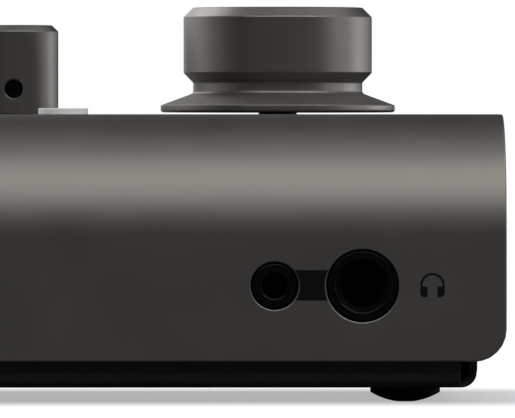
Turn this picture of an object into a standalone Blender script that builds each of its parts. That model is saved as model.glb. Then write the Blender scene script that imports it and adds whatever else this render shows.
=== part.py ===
"""A desktop audio interface, as the separate pieces that it comes apart into.

Lengths are metres. X runs to the right along the front face, Y runs from the front to the rear, and Z
runs up from the table that the feet stand on. The origin is on the table, under the middle of the body.
"""

import math

import bmesh
import bpy
from mathutils import Matrix

MM = 0.001

# Clearances
SEAT = 0.3 * MM  # between a piece and what it rests on
RUNNING = 0.1 * MM  # around a turning shaft, on the radius
SLIDING = 0.2 * MM  # around a button, a light pipe or a socket in its hole, on the radius
THREAD = 0.15 * MM  # around a screw in its hole, on the radius
SAME_POINT = 0.0001 * MM  # points nearer than this are one

# Facets of round shapes
KNOB_FACETS = 48
DRUM_FACETS = 36
HOLE_FACETS = 24
BUTTON_FACETS = 20
SMALL_FACETS = 12
HEXAGON = 6
CORNER_STEPS = 6
SHARP_ANGLE = math.radians(30)
ROUND_END = 0.45  # corner radius of a slot with round ends, as a share of its width

# Shell: front, top and rear bent from one sheet
SHELL_WIDTH = 133.4 * MM
SHELL_DEPTH = 120 * MM
SHELL_HEIGHT = 37.8 * MM
SHELL_SHEET = 2.5 * MM
FRONT_BEND = 18.5 * MM  # outer radius
REAR_BEND = 6 * MM  # outer radius
FRONT_BEND_STEPS = 12
REAR_BEND_STEPS = 6
FLANGE_CORNER = 5 * MM  # lower corners of the front and the rear

# Base pan: folded from thinner sheet, set in from the shell on every side
PAN_SHEET = 1.2 * MM
PAN_BEND = 2.4 * MM  # outer radius
PAN_BEND_STEPS = 5
PAN_SIDE_INSET = 4.4 * MM
PAN_REVEAL = 4 * MM  # how far the pan shows below the shell
PAN_WALL_GAP = 0.5 * MM  # between its side walls' edges and the shell
PAN_FRONT_FLANGE = 7.4 * MM  # height over the pan's underside
PAN_REAR_FLANGE = 6.9 * MM  # height over the pan's underside
PAN_WALL_FOOT = 3 * MM  # where its side walls widen to full depth, over the pan's underside
PAN_RELIEF = 0.2 * MM  # notch that parts two folds at a corner

# Feet
FOOT_RADIUS = 5.35 * MM
FOOT_HEIGHT = 1.9 * MM
FOOT_DOME = 10.1 * MM  # radius of the dome's curve
FOOT_FLAT = 1.2 * MM  # radius of the flat that touches the table
FOOT_DOME_STEPS = 5
FOOT_FROM_SIDE = 15.2 * MM
FOOT_FROM_FRONT = 11.5 * MM
FOOT_FROM_REAR = 14 * MM

# Stack of boards, standoffs and pillars
BOARD = 1.6 * MM
STANDOFF = 5.5 * MM  # pan floor to main board
CONTROL_DROP = 8.5 * MM  # inside of the shell's top to the control board
HEX_RADIUS = 3 * MM  # standoffs and pillars, over their corners
STUD_RADIUS = 1.5 * MM
STUD_LENGTH = 5 * MM
BOSS_RADIUS = 2.75 * MM
SCREW_HEAD = 2.65 * MM  # radius of a base screw's countersunk head
SCREW_LENGTH = 3.6 * MM
PILLAR_FROM_SIDE = 9.7 * MM
PILLAR_FROM_FRONT = 24 * MM
PILLAR_SPAN = 56 * MM  # front pillars to rear pillars
BOARD_EDGE = 0.6 * MM  # gap between a board's edge and the pan
BOARD_CORNER = 2 * MM
CONTROL_BOARD_FROM_FRONT = 20 * MM
CONTROL_BOARD_PAST_GAIN = 10 * MM
CONTROL_BOARD_PAST_COMBI = 4.7 * MM

# Controls on the top
SHAFT_RADIUS = 3 * MM
SHAFT_FLAT = 1.5 * MM  # from the axis to the flat that the set screw bears on
BUSH_WALL = 0.4 * MM
BUSH_DROP = 1 * MM  # bush top under the shell's outer face
CONTROL_BODY = 6.5 * MM  # height of an encoder's or a potentiometer's body
SHAFT_ROOT = 3.5 * MM  # how deep a shaft goes into its body
ENCODER_SIZE = (12.4 * MM, 13.4 * MM)
POT_SIZE = (9.8 * MM, 11 * MM)

VOLUME_FROM_RIGHT = 33.9 * MM
VOLUME_Y = 0.0
VOLUME_GAP = 0.45 * MM  # between the knob and the shell
VOLUME_GRIP = 14.8 * MM  # radius
VOLUME_NECK = 13.3 * MM  # radius
VOLUME_SKIRT = 18.4 * MM  # radius
VOLUME_UNDERCUT = 0.45 * MM
VOLUME_RIM = 0.6 * MM
VOLUME_CONE = 2 * MM
VOLUME_FILLET = 0.8 * MM  # between the cone and the neck
VOLUME_FILLET_STEPS = 3
VOLUME_NECK_HEIGHT = 1.6 * MM
VOLUME_GRIP_HEIGHT = 8.8 * MM
VOLUME_CHAMFER = 1.5 * MM
VOLUME_BORE = 12 * MM
VOLUME_SCREW_HEIGHT = 9.5 * MM
VOLUME_SCREW = 4 * MM

GAIN_GAP = 0.3 * MM  # between the knob and the shell
GAIN_RADIUS = 7.1 * MM
GAIN_HEIGHT = 14.15 * MM
GAIN_CHAMFER = 1 * MM
GAIN_BORE = 10 * MM
GAIN_SCREW_HEIGHT = 3.95 * MM
GAIN_SCREW = 2.6 * MM
GAIN_POINTER = (1.0 * MM, 3.6 * MM, 0.35 * MM)  # width, length and depth of the pointer's groove
POINTER_STEPS = 4
GAIN_Y = 30 * MM
DI_GAIN_X = -8.8 * MM
MIC_GAIN_FROM_LEFT = 24.7 * MM
SET_SCREW_HOLE = 1.5 * MM  # radius
HEX_SOCKET = 0.87 * MM  # over the corners
HEX_SOCKET_DEPTH = 1.2 * MM

BUTTON_RADIUS = 3.85 * MM
BUTTON_RISE = 1 * MM
BUTTON_EDGE = 0.25 * MM
BUTTON_FLANGE = 0.8 * MM  # how far the hidden flange stands out, and how thick it is
BUTTON_FLANGE_DROP = 0.7 * MM  # under the inside of the shell
BUTTON_TRAVEL = 0.5 * MM
BUTTON_STEM = 1.6 * MM
BUTTON_STEM_LENGTH = 4 * MM
BUTTON_FROM_FRONT = 36 * MM
BUTTON_LAST_X = -0.9 * MM  # the button nearest to the volume knob
PHANTOM_RADIUS = 2.5 * MM
SWITCH_SIDE = 6.2 * MM
SWITCH_HEIGHT = 5.3 * MM
SWITCH_WELL = 2 * MM

METER_LIGHTS = 8
METER_LIGHT_RADIUS = 0.9 * MM
METER_Y = 3 * MM
METER_BAR = (3.6 * MM, 1 * MM)  # width and thickness of the light pipe's bar
METER_SUNK = 0.1 * MM  # light ends under the shell's outer face

# Sockets
SOCKET_RISE = 7.3 * MM  # jack axis over the main board
SOCKET_SUNK = 0.3 * MM  # socket faces behind the panel's outer face
JACK_HOLE = 5.55 * MM  # radius of the panel's hole for a 6.35 mm socket
JACK_BORE = 3.2 * MM
JACK_MOUTH = 4.15 * MM
JACK_LEAD = 1.2 * MM
JACK_DEPTH = 30 * MM
JACK_WIDTH = 15.6 * MM
JACK_BODY_TOP = 6.7 * MM  # over the axis
MINI_HOLE = 3.65 * MM  # radius of the panel's hole for a 3.5 mm socket
MINI_BORE = 1.8 * MM
MINI_MOUTH = 2.1 * MM
MINI_LEAD = 0.6 * MM
MINI_DEPTH = 14.5 * MM
MINI_WIDTH = 10 * MM
MINI_BODY_TOP = 5 * MM  # over the axis
SOCKET_BACK = 1.5 * MM  # wall behind a bore
SOCKET_CHAMFER = 0.6 * MM
PHONES_FROM_RIGHT = 22 * MM
MINI_SPACING = 13.4 * MM  # 3.5 mm socket to 6.35 mm socket
DI_FROM_LEFT = 22 * MM

COMBI_FROM_RIGHT = 28.7 * MM
COMBI_RISE = 12.9 * MM  # axis over the main board
COMBI_HOLE = 12 * MM  # radius of the panel's hole
COMBI_GROOVE = (7.85 * MM, 9.6 * MM)  # radii of the ring that takes the plug's shell
COMBI_GROOVE_DEPTH = 11 * MM
COMBI_KEY = (3 * MM, 1.2 * MM)  # keyway above the groove: width and height
COMBI_PIN_CIRCLE = 5.3 * MM
COMBI_PIN_HOLE = 1.25 * MM
COMBI_PIN_DEPTH = 12 * MM
COMBI_PIN_ANGLES = (30, 150, 270)
COMBI_MOUTH = 3.8 * MM
COMBI_WIDTH = 28 * MM
COMBI_LENGTH = 27 * MM
COMBI_SCREW = (11.6 * MM, 9.2 * MM)  # from the axis
COMBI_SCREW_RADIUS = 1.25 * MM
COMBI_SCREW_HEAD = 2.5 * MM  # radius of its countersunk head
COMBI_SCREW_LENGTH = 8 * MM

LINE_OUT_X = (-20 * MM, -2 * MM)
USB_FROM_LEFT = 21.7 * MM
USB_SHELL = (9 * MM, 3.3 * MM)
USB_WALL = 0.35 * MM
USB_DEPTH = 9 * MM
USB_CAVITY = 6.5 * MM
USB_TONGUE = (6.7 * MM, 0.7 * MM, 5 * MM)

# Parts on the main board
LINK_SIZE = (26 * MM, 5 * MM)
LINK_AT = (8 * MM, -33 * MM)
CHIP_HEIGHT = 1.1 * MM
CONVERTER_SIDE = 7 * MM
CONVERTER_AT = (2 * MM, 4 * MM)
USB_CHIP_SIDE = 9 * MM
USB_CHIP_AHEAD = 22 * MM  # in front of the USB socket's mouth
CAPACITOR_RADIUS = 4 * MM
CAPACITOR_HEIGHT = 12 * MM
CAPACITOR_GROOVE = 0.4 * MM
CAPACITOR_AT = ((-34 * MM, -8 * MM), (-23 * MM, -8 * MM))

# Levels and edges that follow from the sizes above
FRONT = -SHELL_DEPTH / 2
REAR = SHELL_DEPTH / 2
LEFT = -SHELL_WIDTH / 2
RIGHT = SHELL_WIDTH / 2
PAN_BOTTOM = FOOT_HEIGHT + SEAT
PAN_FLOOR = PAN_BOTTOM + PAN_SHEET
SHELL_BOTTOM = PAN_BOTTOM + PAN_REVEAL
SHELL_TOP = SHELL_BOTTOM + SHELL_HEIGHT
SHELL_CEILING = SHELL_TOP - SHELL_SHEET
MAIN_BOARD_TOP = PAN_FLOOR + STANDOFF + BOARD
CONTROL_BOARD_TOP = SHELL_CEILING - CONTROL_DROP
SOCKET_AXIS = MAIN_BOARD_TOP + SOCKET_RISE
COMBI_AXIS = MAIN_BOARD_TOP + COMBI_RISE
USB_AXIS = MAIN_BOARD_TOP + SEAT + USB_SHELL[1] / 2
PAN_HALF_WIDTH = RIGHT - PAN_SIDE_INSET
PAN_HALF_DEPTH = REAR - SHELL_SHEET - SEAT
BUSH_RADIUS = SHAFT_RADIUS + RUNNING + BUSH_WALL
CONTROL_HOLE = BUSH_RADIUS + SEAT
KNOB_BORE = SHAFT_RADIUS + SEAT

VOLUME_AT = (RIGHT - VOLUME_FROM_RIGHT, VOLUME_Y)
MIC_GAIN_X = LEFT + MIC_GAIN_FROM_LEFT
MIC_GAIN_AT = (MIC_GAIN_X, GAIN_Y)
DI_GAIN_AT = (DI_GAIN_X, GAIN_Y)
PHANTOM_AT = ((MIC_GAIN_X + DI_GAIN_X) / 2, GAIN_Y)
BUTTON_Y = FRONT + BUTTON_FROM_FRONT
BUTTON_STEP = (BUTTON_LAST_X - MIC_GAIN_X) / 2
BUTTON_AT = {
    "function": (MIC_GAIN_X, BUTTON_Y),
    "monitor": (MIC_GAIN_X + BUTTON_STEP, BUTTON_Y),
    "phones": (BUTTON_LAST_X, BUTTON_Y),
}
METER_STEP = (BUTTON_LAST_X - MIC_GAIN_X) / (METER_LIGHTS - 1)
METER_AT = [(MIC_GAIN_X + i * METER_STEP, METER_Y) for i in range(METER_LIGHTS)]
PHONES_X = RIGHT - PHONES_FROM_RIGHT
MINI_X = PHONES_X - MINI_SPACING
DI_X = LEFT + DI_FROM_LEFT
COMBI_X = RIGHT - COMBI_FROM_RIGHT
USB_X = LEFT + USB_FROM_LEFT
COMBI_SCREWS = [(COMBI_X + side * COMBI_SCREW[0], COMBI_AXIS + side * COMBI_SCREW[1]) for side in (-1, 1)]

FRONT_PILLAR_Y = FRONT + PILLAR_FROM_FRONT
PILLAR_AT = {
    f"{row}_{side}": (sign * (RIGHT - PILLAR_FROM_SIDE), y)
    for row, y in (("front", FRONT_PILLAR_Y), ("rear", FRONT_PILLAR_Y + PILLAR_SPAN))
    for side, sign in (("left", -1), ("right", 1))
}
FOOT_AT = {
    f"{row}_{side}": (sign * (RIGHT - FOOT_FROM_SIDE), y)
    for row, y in (("front", FRONT + FOOT_FROM_FRONT), ("rear", REAR - FOOT_FROM_REAR))
    for side, sign in (("left", -1), ("right", 1))
}

# Lengths along the sheet that the shell is bent from, measured on its outer face
FRONT_RUN = SHELL_HEIGHT - FRONT_BEND
FRONT_ARC = FRONT_BEND * math.pi / 2
TOP_RUN = SHELL_DEPTH - FRONT_BEND - REAR_BEND
REAR_ARC = REAR_BEND * math.pi / 2
REAR_RUN = SHELL_HEIGHT - REAR_BEND
TOP_START = FRONT_RUN + FRONT_ARC
REAR_ARC_START = TOP_START + TOP_RUN
REAR_START = REAR_ARC_START + REAR_ARC
BLANK_LENGTH = REAR_START + REAR_RUN


# Outlines

def arc(centre, radius, start, end, steps):
    """Points along an arc between two angles in degrees."""
    angles = [math.radians(start + (end - start) * i / steps) for i in range(steps + 1)]
    return [(centre[0] + radius * math.cos(a), centre[1] + radius * math.sin(a)) for a in angles]


def circle(centre, radius, facets=HOLE_FACETS):
    """The corners of a round outline."""
    return arc(centre, radius, 0, 360, facets)[:-1]


def rectangle(centre, size, radius=0.0, steps=CORNER_STEPS):
    """The outline of a rectangle, with rounded corners where a radius is given."""
    half_x, half_y = size[0] / 2 - radius, size[1] / 2 - radius
    corners = [(half_x, -half_y), (half_x, half_y), (-half_x, half_y), (-half_x, -half_y)]
    points = []
    for quarter, (x, y) in enumerate(corners):
        corner = (centre[0] + x, centre[1] + y)
        start = 90 * quarter - 90
        points += arc(corner, radius, start, start + 90, steps) if radius else [corner]
    return points


# Meshes

def prism(outline, bottom, top):
    """A straight solid on an outline in X and Y."""
    bm = bmesh.new()
    face = bm.faces.new([bm.verts.new((x, y, bottom)) for x, y in outline])
    raise_faces(bm, [face], top - bottom)
    return bm


def pierced_plate(outline, holes, bottom, top):
    """A flat plate on an outline in X and Y, with holes right through it."""
    bm = bmesh.new()
    edges = []
    for loop in [outline, *holes]:
        verts = [bm.verts.new((x, y, bottom)) for x, y in loop]
        edges += [bm.edges.new(pair) for pair in zip(verts, verts[1:] + verts[:1])]
    bmesh.ops.triangle_fill(bm, edges=edges, use_beauty=True, normal=(0, 0, 1))
    raise_faces(bm, bm.faces[:], top - bottom)
    return bm


def raise_faces(bm, faces, height):
    """Extrudes faces upwards, leaving the ones that they came from below."""
    grown = bmesh.ops.extrude_face_region(bm, geom=faces, use_keep_orig=True)["geom"]
    verts = [item for item in grown if isinstance(item, bmesh.types.BMVert)]
    bmesh.ops.translate(bm, verts=verts, vec=(0, 0, height))


def lathe(profile, facets=HOLE_FACETS, closed=False):
    """A turned solid about Z from (radius, height) points. A closed profile makes a ring."""
    bm = bmesh.new()
    verts = [bm.verts.new((r, 0, z)) for r, z in profile]
    followers = verts[1:] + verts[:1] if closed else verts[1:]
    edges = [bm.edges.new(pair) for pair in zip(verts, followers)]
    bmesh.ops.spin(
        bm, geom=verts + edges, cent=(0, 0, 0), axis=(0, 0, 1),
        angle=2 * math.pi, steps=facets, use_merge=True,
    )
    bmesh.ops.remove_doubles(bm, verts=bm.verts, dist=SAME_POINT)
    return bm


def rod(radius, bottom, top, facets=HOLE_FACETS):
    """A plain round bar about Z."""
    return prism(circle((0, 0), radius, facets), bottom, top)


def moved(bm, by):
    """Shifts a shape in its own space."""
    bmesh.ops.translate(bm, verts=bm.verts, vec=by)
    return bm


def along_y(bm):
    """Lays a shape that stands along Z down along Y, top end to the rear."""
    bmesh.ops.rotate(bm, verts=bm.verts, cent=(0, 0, 0), matrix=Matrix.Rotation(-math.pi / 2, 3, "X"))
    return bm


# Objects and finishes

def finish(name, colour, roughness, metallic=0.0):
    """A painted, moulded or bare surface."""
    material = bpy.data.materials.new(name)
    material.use_nodes = True
    shader = material.node_tree.nodes["Principled BSDF"]
    shader.inputs["Base Color"].default_value = (*colour, 1)
    shader.inputs["Roughness"].default_value = roughness
    shader.inputs["Metallic"].default_value = metallic
    material.diffuse_color = (*colour, 1)
    return material


def piece(name, bm, material, at=(0, 0, 0), turn=0.0, parent=None):
    """One named object, turned about Z by a number of degrees and placed in its parent's space."""
    bmesh.ops.recalc_face_normals(bm, faces=bm.faces)
    mesh = bpy.data.meshes.new(name)
    bm.to_mesh(mesh)
    bm.free()
    if material:
        mesh.materials.append(material)
    mesh.shade_smooth()
    mesh.set_sharp_from_angle(angle=SHARP_ANGLE)
    obj = bpy.data.objects.new(name, mesh)
    obj.location = at
    obj.rotation_euler.z = math.radians(turn)
    obj.parent = parent
    bpy.context.scene.collection.objects.link(obj)
    return obj


def combine(obj, operation, bm):
    """Cuts a helper shape from a piece, or joins one to it. The helper shares the piece's place."""
    helper = piece("helper", bm, None, obj.location, math.degrees(obj.rotation_euler.z), obj.parent)
    modifier = obj.modifiers.new("combine", "BOOLEAN")
    modifier.operation = operation
    modifier.object = helper
    result = obj.evaluated_get(bpy.context.evaluated_depsgraph_get())
    mesh = bpy.data.meshes.new_from_object(result)
    mesh.set_sharp_from_angle(angle=SHARP_ANGLE)
    obj.modifiers.clear()
    obj.data = mesh
    bpy.data.objects.remove(helper)


def cut(obj, bm):
    """Takes a shape away from a piece."""
    combine(obj, "DIFFERENCE", bm)


def join(obj, bm):
    """Fuses a shape with a piece."""
    combine(obj, "UNION", bm)


def group(name, at):
    """An empty on a control's axis, level with the shell's top."""
    empty = bpy.data.objects.new(name, None)
    empty.location = (*at, SHELL_TOP)
    bpy.context.scene.collection.objects.link(empty)
    return empty


# Shell

def front_u(z):
    """Place along the blank of a height on the front."""
    return z - SHELL_BOTTOM


def top_u(y):
    """Place along the blank of a distance from the middle on the top."""
    return TOP_START + y - (FRONT + FRONT_BEND)


def rear_u(z):
    """Place along the blank of a height on the rear."""
    return REAR_START + (SHELL_TOP - REAR_BEND) - z


def shell_holes():
    """Every hole that is punched in the flat blank, as outlines across and along it."""
    top_holes = [(VOLUME_AT, CONTROL_HOLE), (MIC_GAIN_AT, CONTROL_HOLE), (DI_GAIN_AT, CONTROL_HOLE)]
    top_holes += [(at, BUTTON_RADIUS + SLIDING) for at in BUTTON_AT.values()]
    top_holes += [(PHANTOM_AT, PHANTOM_RADIUS + SLIDING)]
    holes = [circle((x, top_u(y)), radius) for (x, y), radius in top_holes]
    holes += [circle((x, top_u(y)), METER_LIGHT_RADIUS + SLIDING, SMALL_FACETS) for x, y in METER_AT]
    for x, radius in ((DI_X, JACK_HOLE), (MINI_X, MINI_HOLE), (PHONES_X, JACK_HOLE)):
        holes.append(circle((x, front_u(SOCKET_AXIS)), radius))
    holes += [circle((x, rear_u(SOCKET_AXIS)), JACK_HOLE) for x in LINE_OUT_X]
    holes.append(circle((COMBI_X, rear_u(COMBI_AXIS)), COMBI_HOLE))
    usb_size = [side + 2 * SEAT for side in USB_SHELL]
    holes.append(rectangle((USB_X, rear_u(USB_AXIS)), usb_size, usb_size[1] * ROUND_END))
    return holes


def bent(co):
    """Where a point of the flat blank goes when the sheet is bent: Y is along the blank, Z its thickness."""
    x, u, lift = co
    if u <= FRONT_RUN:
        return x, FRONT - lift, SHELL_BOTTOM + u
    if u < TOP_START:
        angle = (u - FRONT_RUN) / FRONT_BEND
        reach = FRONT_BEND + lift
        return (
            x,
            FRONT + FRONT_BEND - reach * math.cos(angle),
            SHELL_TOP - FRONT_BEND + reach * math.sin(angle),
        )
    if u <= REAR_ARC_START:
        return x, FRONT + FRONT_BEND + u - TOP_START, SHELL_TOP + lift
    if u < REAR_START:
        angle = (u - REAR_ARC_START) / REAR_BEND
        reach = REAR_BEND + lift
        return (
            x,
            REAR - REAR_BEND + reach * math.sin(angle),
            SHELL_TOP - REAR_BEND + reach * math.cos(angle),
        )
    return x, REAR + lift, SHELL_TOP - REAR_BEND - (u - REAR_START)


def make_shell(material):
    """The sheet is punched flat, then bent, and countersunk for the microphone socket's screws."""
    outline = rectangle((0, BLANK_LENGTH / 2), (SHELL_WIDTH, BLANK_LENGTH), FLANGE_CORNER)
    bm = pierced_plate(outline, shell_holes(), -SHELL_SHEET, 0)
    bend_lines = [FRONT_RUN + FRONT_ARC * i / FRONT_BEND_STEPS for i in range(FRONT_BEND_STEPS + 1)]
    bend_lines += [REAR_ARC_START + REAR_ARC * i / REAR_BEND_STEPS for i in range(REAR_BEND_STEPS + 1)]
    for u in bend_lines:
        everything = bm.verts[:] + bm.edges[:] + bm.faces[:]
        bmesh.ops.bisect_plane(bm, geom=everything, plane_co=(0, u, 0), plane_no=(0, 1, 0), dist=SAME_POINT)
    for vert in bm.verts:
        vert.co = bent(vert.co)
    shell = piece("shell", bm, material)
    for x, z in COMBI_SCREWS:
        sink = countersink(COMBI_SCREW_HEAD, COMBI_SCREW_RADIUS, SHELL_SHEET)
        bmesh.ops.rotate(sink, verts=sink.verts, cent=(0, 0, 0), matrix=Matrix.Rotation(math.pi / 2, 3, "X"))
        cut(shell, moved(sink, (x, REAR, z)))


# Base pan

def fold_edge(bm, edge, outward, height):
    """Bends a flange up from an edge of the floor and returns the flange's last edge."""
    ahead = [0.0, 0.0]
    last = edge
    for i in range(1, PAN_BEND_STEPS + 1):
        angle = math.pi / 2 * i / PAN_BEND_STEPS
        reach = (PAN_BEND * math.sin(angle), PAN_BEND * (1 - math.cos(angle)))
        last = push_edge(bm, last, outward, reach[0] - ahead[0], reach[1] - ahead[1])
        ahead = reach
    return push_edge(bm, last, outward, 0, height - PAN_BEND) if height > PAN_BEND else last


def push_edge(bm, edge, outward, out, up):
    """Extrudes one edge outwards and upwards."""
    grown = bmesh.ops.extrude_edge_only(bm, edges=[edge])["geom"]
    verts = [item for item in grown if isinstance(item, bmesh.types.BMVert)]
    bmesh.ops.translate(bm, verts=verts, vec=(outward[0] * out, outward[1] * out, up))
    edges = [item for item in grown if isinstance(item, bmesh.types.BMEdge)]
    return next(item for item in edges if set(item.verts) == set(verts))


def side_wall_outline():
    """The edge of a side wall in Y and Z from its front foot over the top to its rear foot."""
    inner = SHELL_SHEET + PAN_WALL_GAP
    start = PAN_BOTTOM + PAN_WALL_FOOT
    front_centre = (FRONT + FRONT_BEND, SHELL_TOP - FRONT_BEND)
    rear_centre = (REAR - REAR_BEND, SHELL_TOP - REAR_BEND)
    points = [(FRONT + inner, start)]
    points += arc(front_centre, FRONT_BEND - inner, 180, 90, FRONT_BEND_STEPS)
    points += arc(rear_centre, REAR_BEND - inner, 90, 0, REAR_BEND_STEPS)
    return points + [(REAR - inner, start)]


def make_base_pan(material):
    """Floor, short front and rear flanges and two full side walls, folded up with a relief at each corner."""
    half_x, half_y = PAN_HALF_WIDTH - PAN_BEND, PAN_HALF_DEPTH - PAN_BEND
    flange_x = half_x - PAN_RELIEF
    bm = bmesh.new()
    corners = [
        (-half_x, -half_y), (-flange_x, -half_y), (flange_x, -half_y), (half_x, -half_y),
        (half_x, half_y), (flange_x, half_y), (-flange_x, half_y), (-half_x, half_y),
    ]
    floor = [bm.verts.new((x, y, PAN_BOTTOM)) for x, y in corners]
    bm.faces.new(floor)
    fold_edge(bm, bm.edges.get((floor[1], floor[2])), (0, -1), PAN_FRONT_FLANGE)
    fold_edge(bm, bm.edges.get((floor[5], floor[6])), (0, 1), PAN_REAR_FLANGE)
    for side, ends in ((1, (floor[3], floor[4])), (-1, (floor[7], floor[0]))):
        top = fold_edge(bm, bm.edges.get(ends), (side, 0), PAN_BEND)
        front, rear = sorted(top.verts, key=lambda vert: vert.co.y)
        wall = [bm.verts.new((front.co.x, y, z)) for y, z in side_wall_outline()]
        bm.faces.new([front, *wall, rear])
    bmesh.ops.recalc_face_normals(bm, faces=bm.faces)
    floor_face = min(bm.faces, key=lambda face: face.calc_center_median().z)
    if floor_face.normal.z > 0:
        bmesh.ops.reverse_faces(bm, faces=bm.faces)
    bmesh.ops.solidify(bm, geom=bm.faces[:], thickness=PAN_SHEET)
    pan = piece("base_pan", bm, material)
    for x, y in PILLAR_AT.values():
        cut(pan, moved(countersink(SCREW_HEAD, STUD_RADIUS, PAN_SHEET), (x, y, PAN_BOTTOM)))


def countersunk_screw(head, shank, length):
    """A screw with its head's face at the origin, running up Z."""
    profile = [(0, 0), (head, 0), (shank, head - shank), (shank, length), (0, length)]
    return lathe(profile, SMALL_FACETS)


def countersink(head, shank, sheet):
    """The hole that a countersunk screw goes through, cut from under a sheet to well over it."""
    wide, narrow = head + SEAT, shank + SEAT
    head_part = [(0, -sheet), (wide, -sheet), (wide, 0)]
    shank_part = [(narrow, wide - narrow), (narrow, 2 * sheet), (0, 2 * sheet)]
    return lathe(head_part + shank_part, SMALL_FACETS)


def make_foot(corner, at, material):
    """A rubber button: a straight rim over a shallow dome with a small flat under it."""
    centre = (0, math.sqrt(FOOT_DOME ** 2 - FOOT_FLAT ** 2))
    rim_angle, flat_angle = (math.degrees(math.asin(r / FOOT_DOME)) for r in (FOOT_RADIUS, FOOT_FLAT))
    dome = arc(centre, FOOT_DOME, rim_angle - 90, flat_angle - 90, FOOT_DOME_STEPS)
    profile = [(0, FOOT_HEIGHT), (FOOT_RADIUS, FOOT_HEIGHT), *dome, (0, 0)]
    piece(f"foot_{corner}", lathe(profile, BUTTON_FACETS), material, (*at, 0))


# Stack of boards, standoffs and pillars

def make_base_screw(corner, at, material):
    """Countersunk, flush with the pan's underside, with a hexagon socket."""
    mesh = countersunk_screw(SCREW_HEAD, STUD_RADIUS, SCREW_LENGTH)
    screw = piece(f"base_screw_{corner}", mesh, material, (*at, PAN_BOTTOM))
    cut(screw, rod(HEX_SOCKET, -HEX_SOCKET_DEPTH, HEX_SOCKET_DEPTH, HEXAGON))


def make_spacer(name, at, bottom, top, socket_depth, material):
    """A hexagonal spacer with a threaded hole below and a stud above, which goes through the board on it."""
    spacer = piece(name, rod(HEX_RADIUS, bottom, top, HEXAGON), material, (*at, 0))
    join(spacer, rod(STUD_RADIUS, top - STUD_RADIUS, top + STUD_LENGTH, SMALL_FACETS))
    cut(spacer, rod(STUD_RADIUS + THREAD, bottom - STUD_RADIUS, bottom + socket_depth, SMALL_FACETS))


def make_boss(corner, at, material):
    """A threaded boss welded under the shell's top, which takes a pillar's stud."""
    bottom, top = CONTROL_BOARD_TOP + SEAT, SHELL_CEILING - SEAT
    bore = STUD_RADIUS + THREAD
    ring = [(bore, bottom), (BOSS_RADIUS, bottom), (BOSS_RADIUS, top), (bore, top)]
    piece(f"boss_{corner}", lathe(ring, SMALL_FACETS, closed=True), material, (*at, 0))


def make_stack(board_material, spacer_material, screw_material):
    """Each corner: base screw, standoff, main board, pillar, control board and boss."""
    screw_reach = SCREW_LENGTH - PAN_SHEET
    stud_reach = STUD_LENGTH - BOARD - SEAT
    standoff_ends = (PAN_FLOOR + SEAT, MAIN_BOARD_TOP - BOARD - SEAT)
    pillar_ends = (MAIN_BOARD_TOP + SEAT, CONTROL_BOARD_TOP - BOARD - SEAT)
    for corner, at in PILLAR_AT.items():
        make_base_screw(corner, at, screw_material)
        make_spacer(f"standoff_{corner}", at, *standoff_ends, screw_reach, spacer_material)
        make_spacer(f"pillar_{corner}", at, *pillar_ends, stud_reach, spacer_material)
        make_boss(corner, at, screw_material)
    stud_holes = [circle(at, STUD_RADIUS + SEAT, SMALL_FACETS) for at in PILLAR_AT.values()]
    half_x = PAN_HALF_WIDTH - PAN_SHEET - BOARD_EDGE
    half_y = PAN_HALF_DEPTH - PAN_SHEET - BOARD_EDGE
    main_outline = rectangle((0, 0), (2 * half_x, 2 * half_y), BOARD_CORNER)
    main_board = pierced_plate(main_outline, stud_holes, MAIN_BOARD_TOP - BOARD, MAIN_BOARD_TOP)
    piece("main_board", main_board, board_material)
    front_y = FRONT + CONTROL_BOARD_FROM_FRONT
    rear_y = GAIN_Y + CONTROL_BOARD_PAST_GAIN
    step_x = COMBI_X - COMBI_WIDTH / 2 - BOARD_EDGE
    step_y = REAR - SHELL_SHEET - SEAT - COMBI_LENGTH - CONTROL_BOARD_PAST_COMBI
    control_outline = [
        (-half_x, front_y), (half_x, front_y), (half_x, step_y), (step_x, step_y),
        (step_x, rear_y), (-half_x, rear_y),
    ]
    control_board = pierced_plate(control_outline, stud_holes, CONTROL_BOARD_TOP - BOARD, CONTROL_BOARD_TOP)
    piece("control_board", control_board, board_material)


def make_board_parts(plastic, chip, sleeve):
    """What stands on the main board, apart from the sockets."""
    seat = MAIN_BOARD_TOP + SEAT
    link_top = CONTROL_BOARD_TOP - BOARD - SEAT
    piece("board_link", prism(rectangle(LINK_AT, LINK_SIZE), seat, link_top), plastic)
    usb_chip_at = (USB_X, REAR - USB_CHIP_AHEAD)
    for name, at, side in (("converter", CONVERTER_AT, CONVERTER_SIDE), ("usb", usb_chip_at, USB_CHIP_SIDE)):
        piece(f"{name}_chip", prism(rectangle(at, (side, side)), seat, seat + CHIP_HEIGHT), chip)
    for side, at in zip(("left", "right"), CAPACITOR_AT):
        radius, groove = CAPACITOR_RADIUS, CAPACITOR_GROOVE
        profile = [(0, 0), (radius, 0), (radius, groove), (radius - groove, 2 * groove)]
        profile += [(radius, 3 * groove), (radius, CAPACITOR_HEIGHT - groove)]
        profile += [(radius - groove, CAPACITOR_HEIGHT), (0, CAPACITOR_HEIGHT)]
        piece(f"supply_capacitor_{side}", lathe(profile, BUTTON_FACETS), sleeve, (*at, seat))


# Controls on the top

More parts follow.
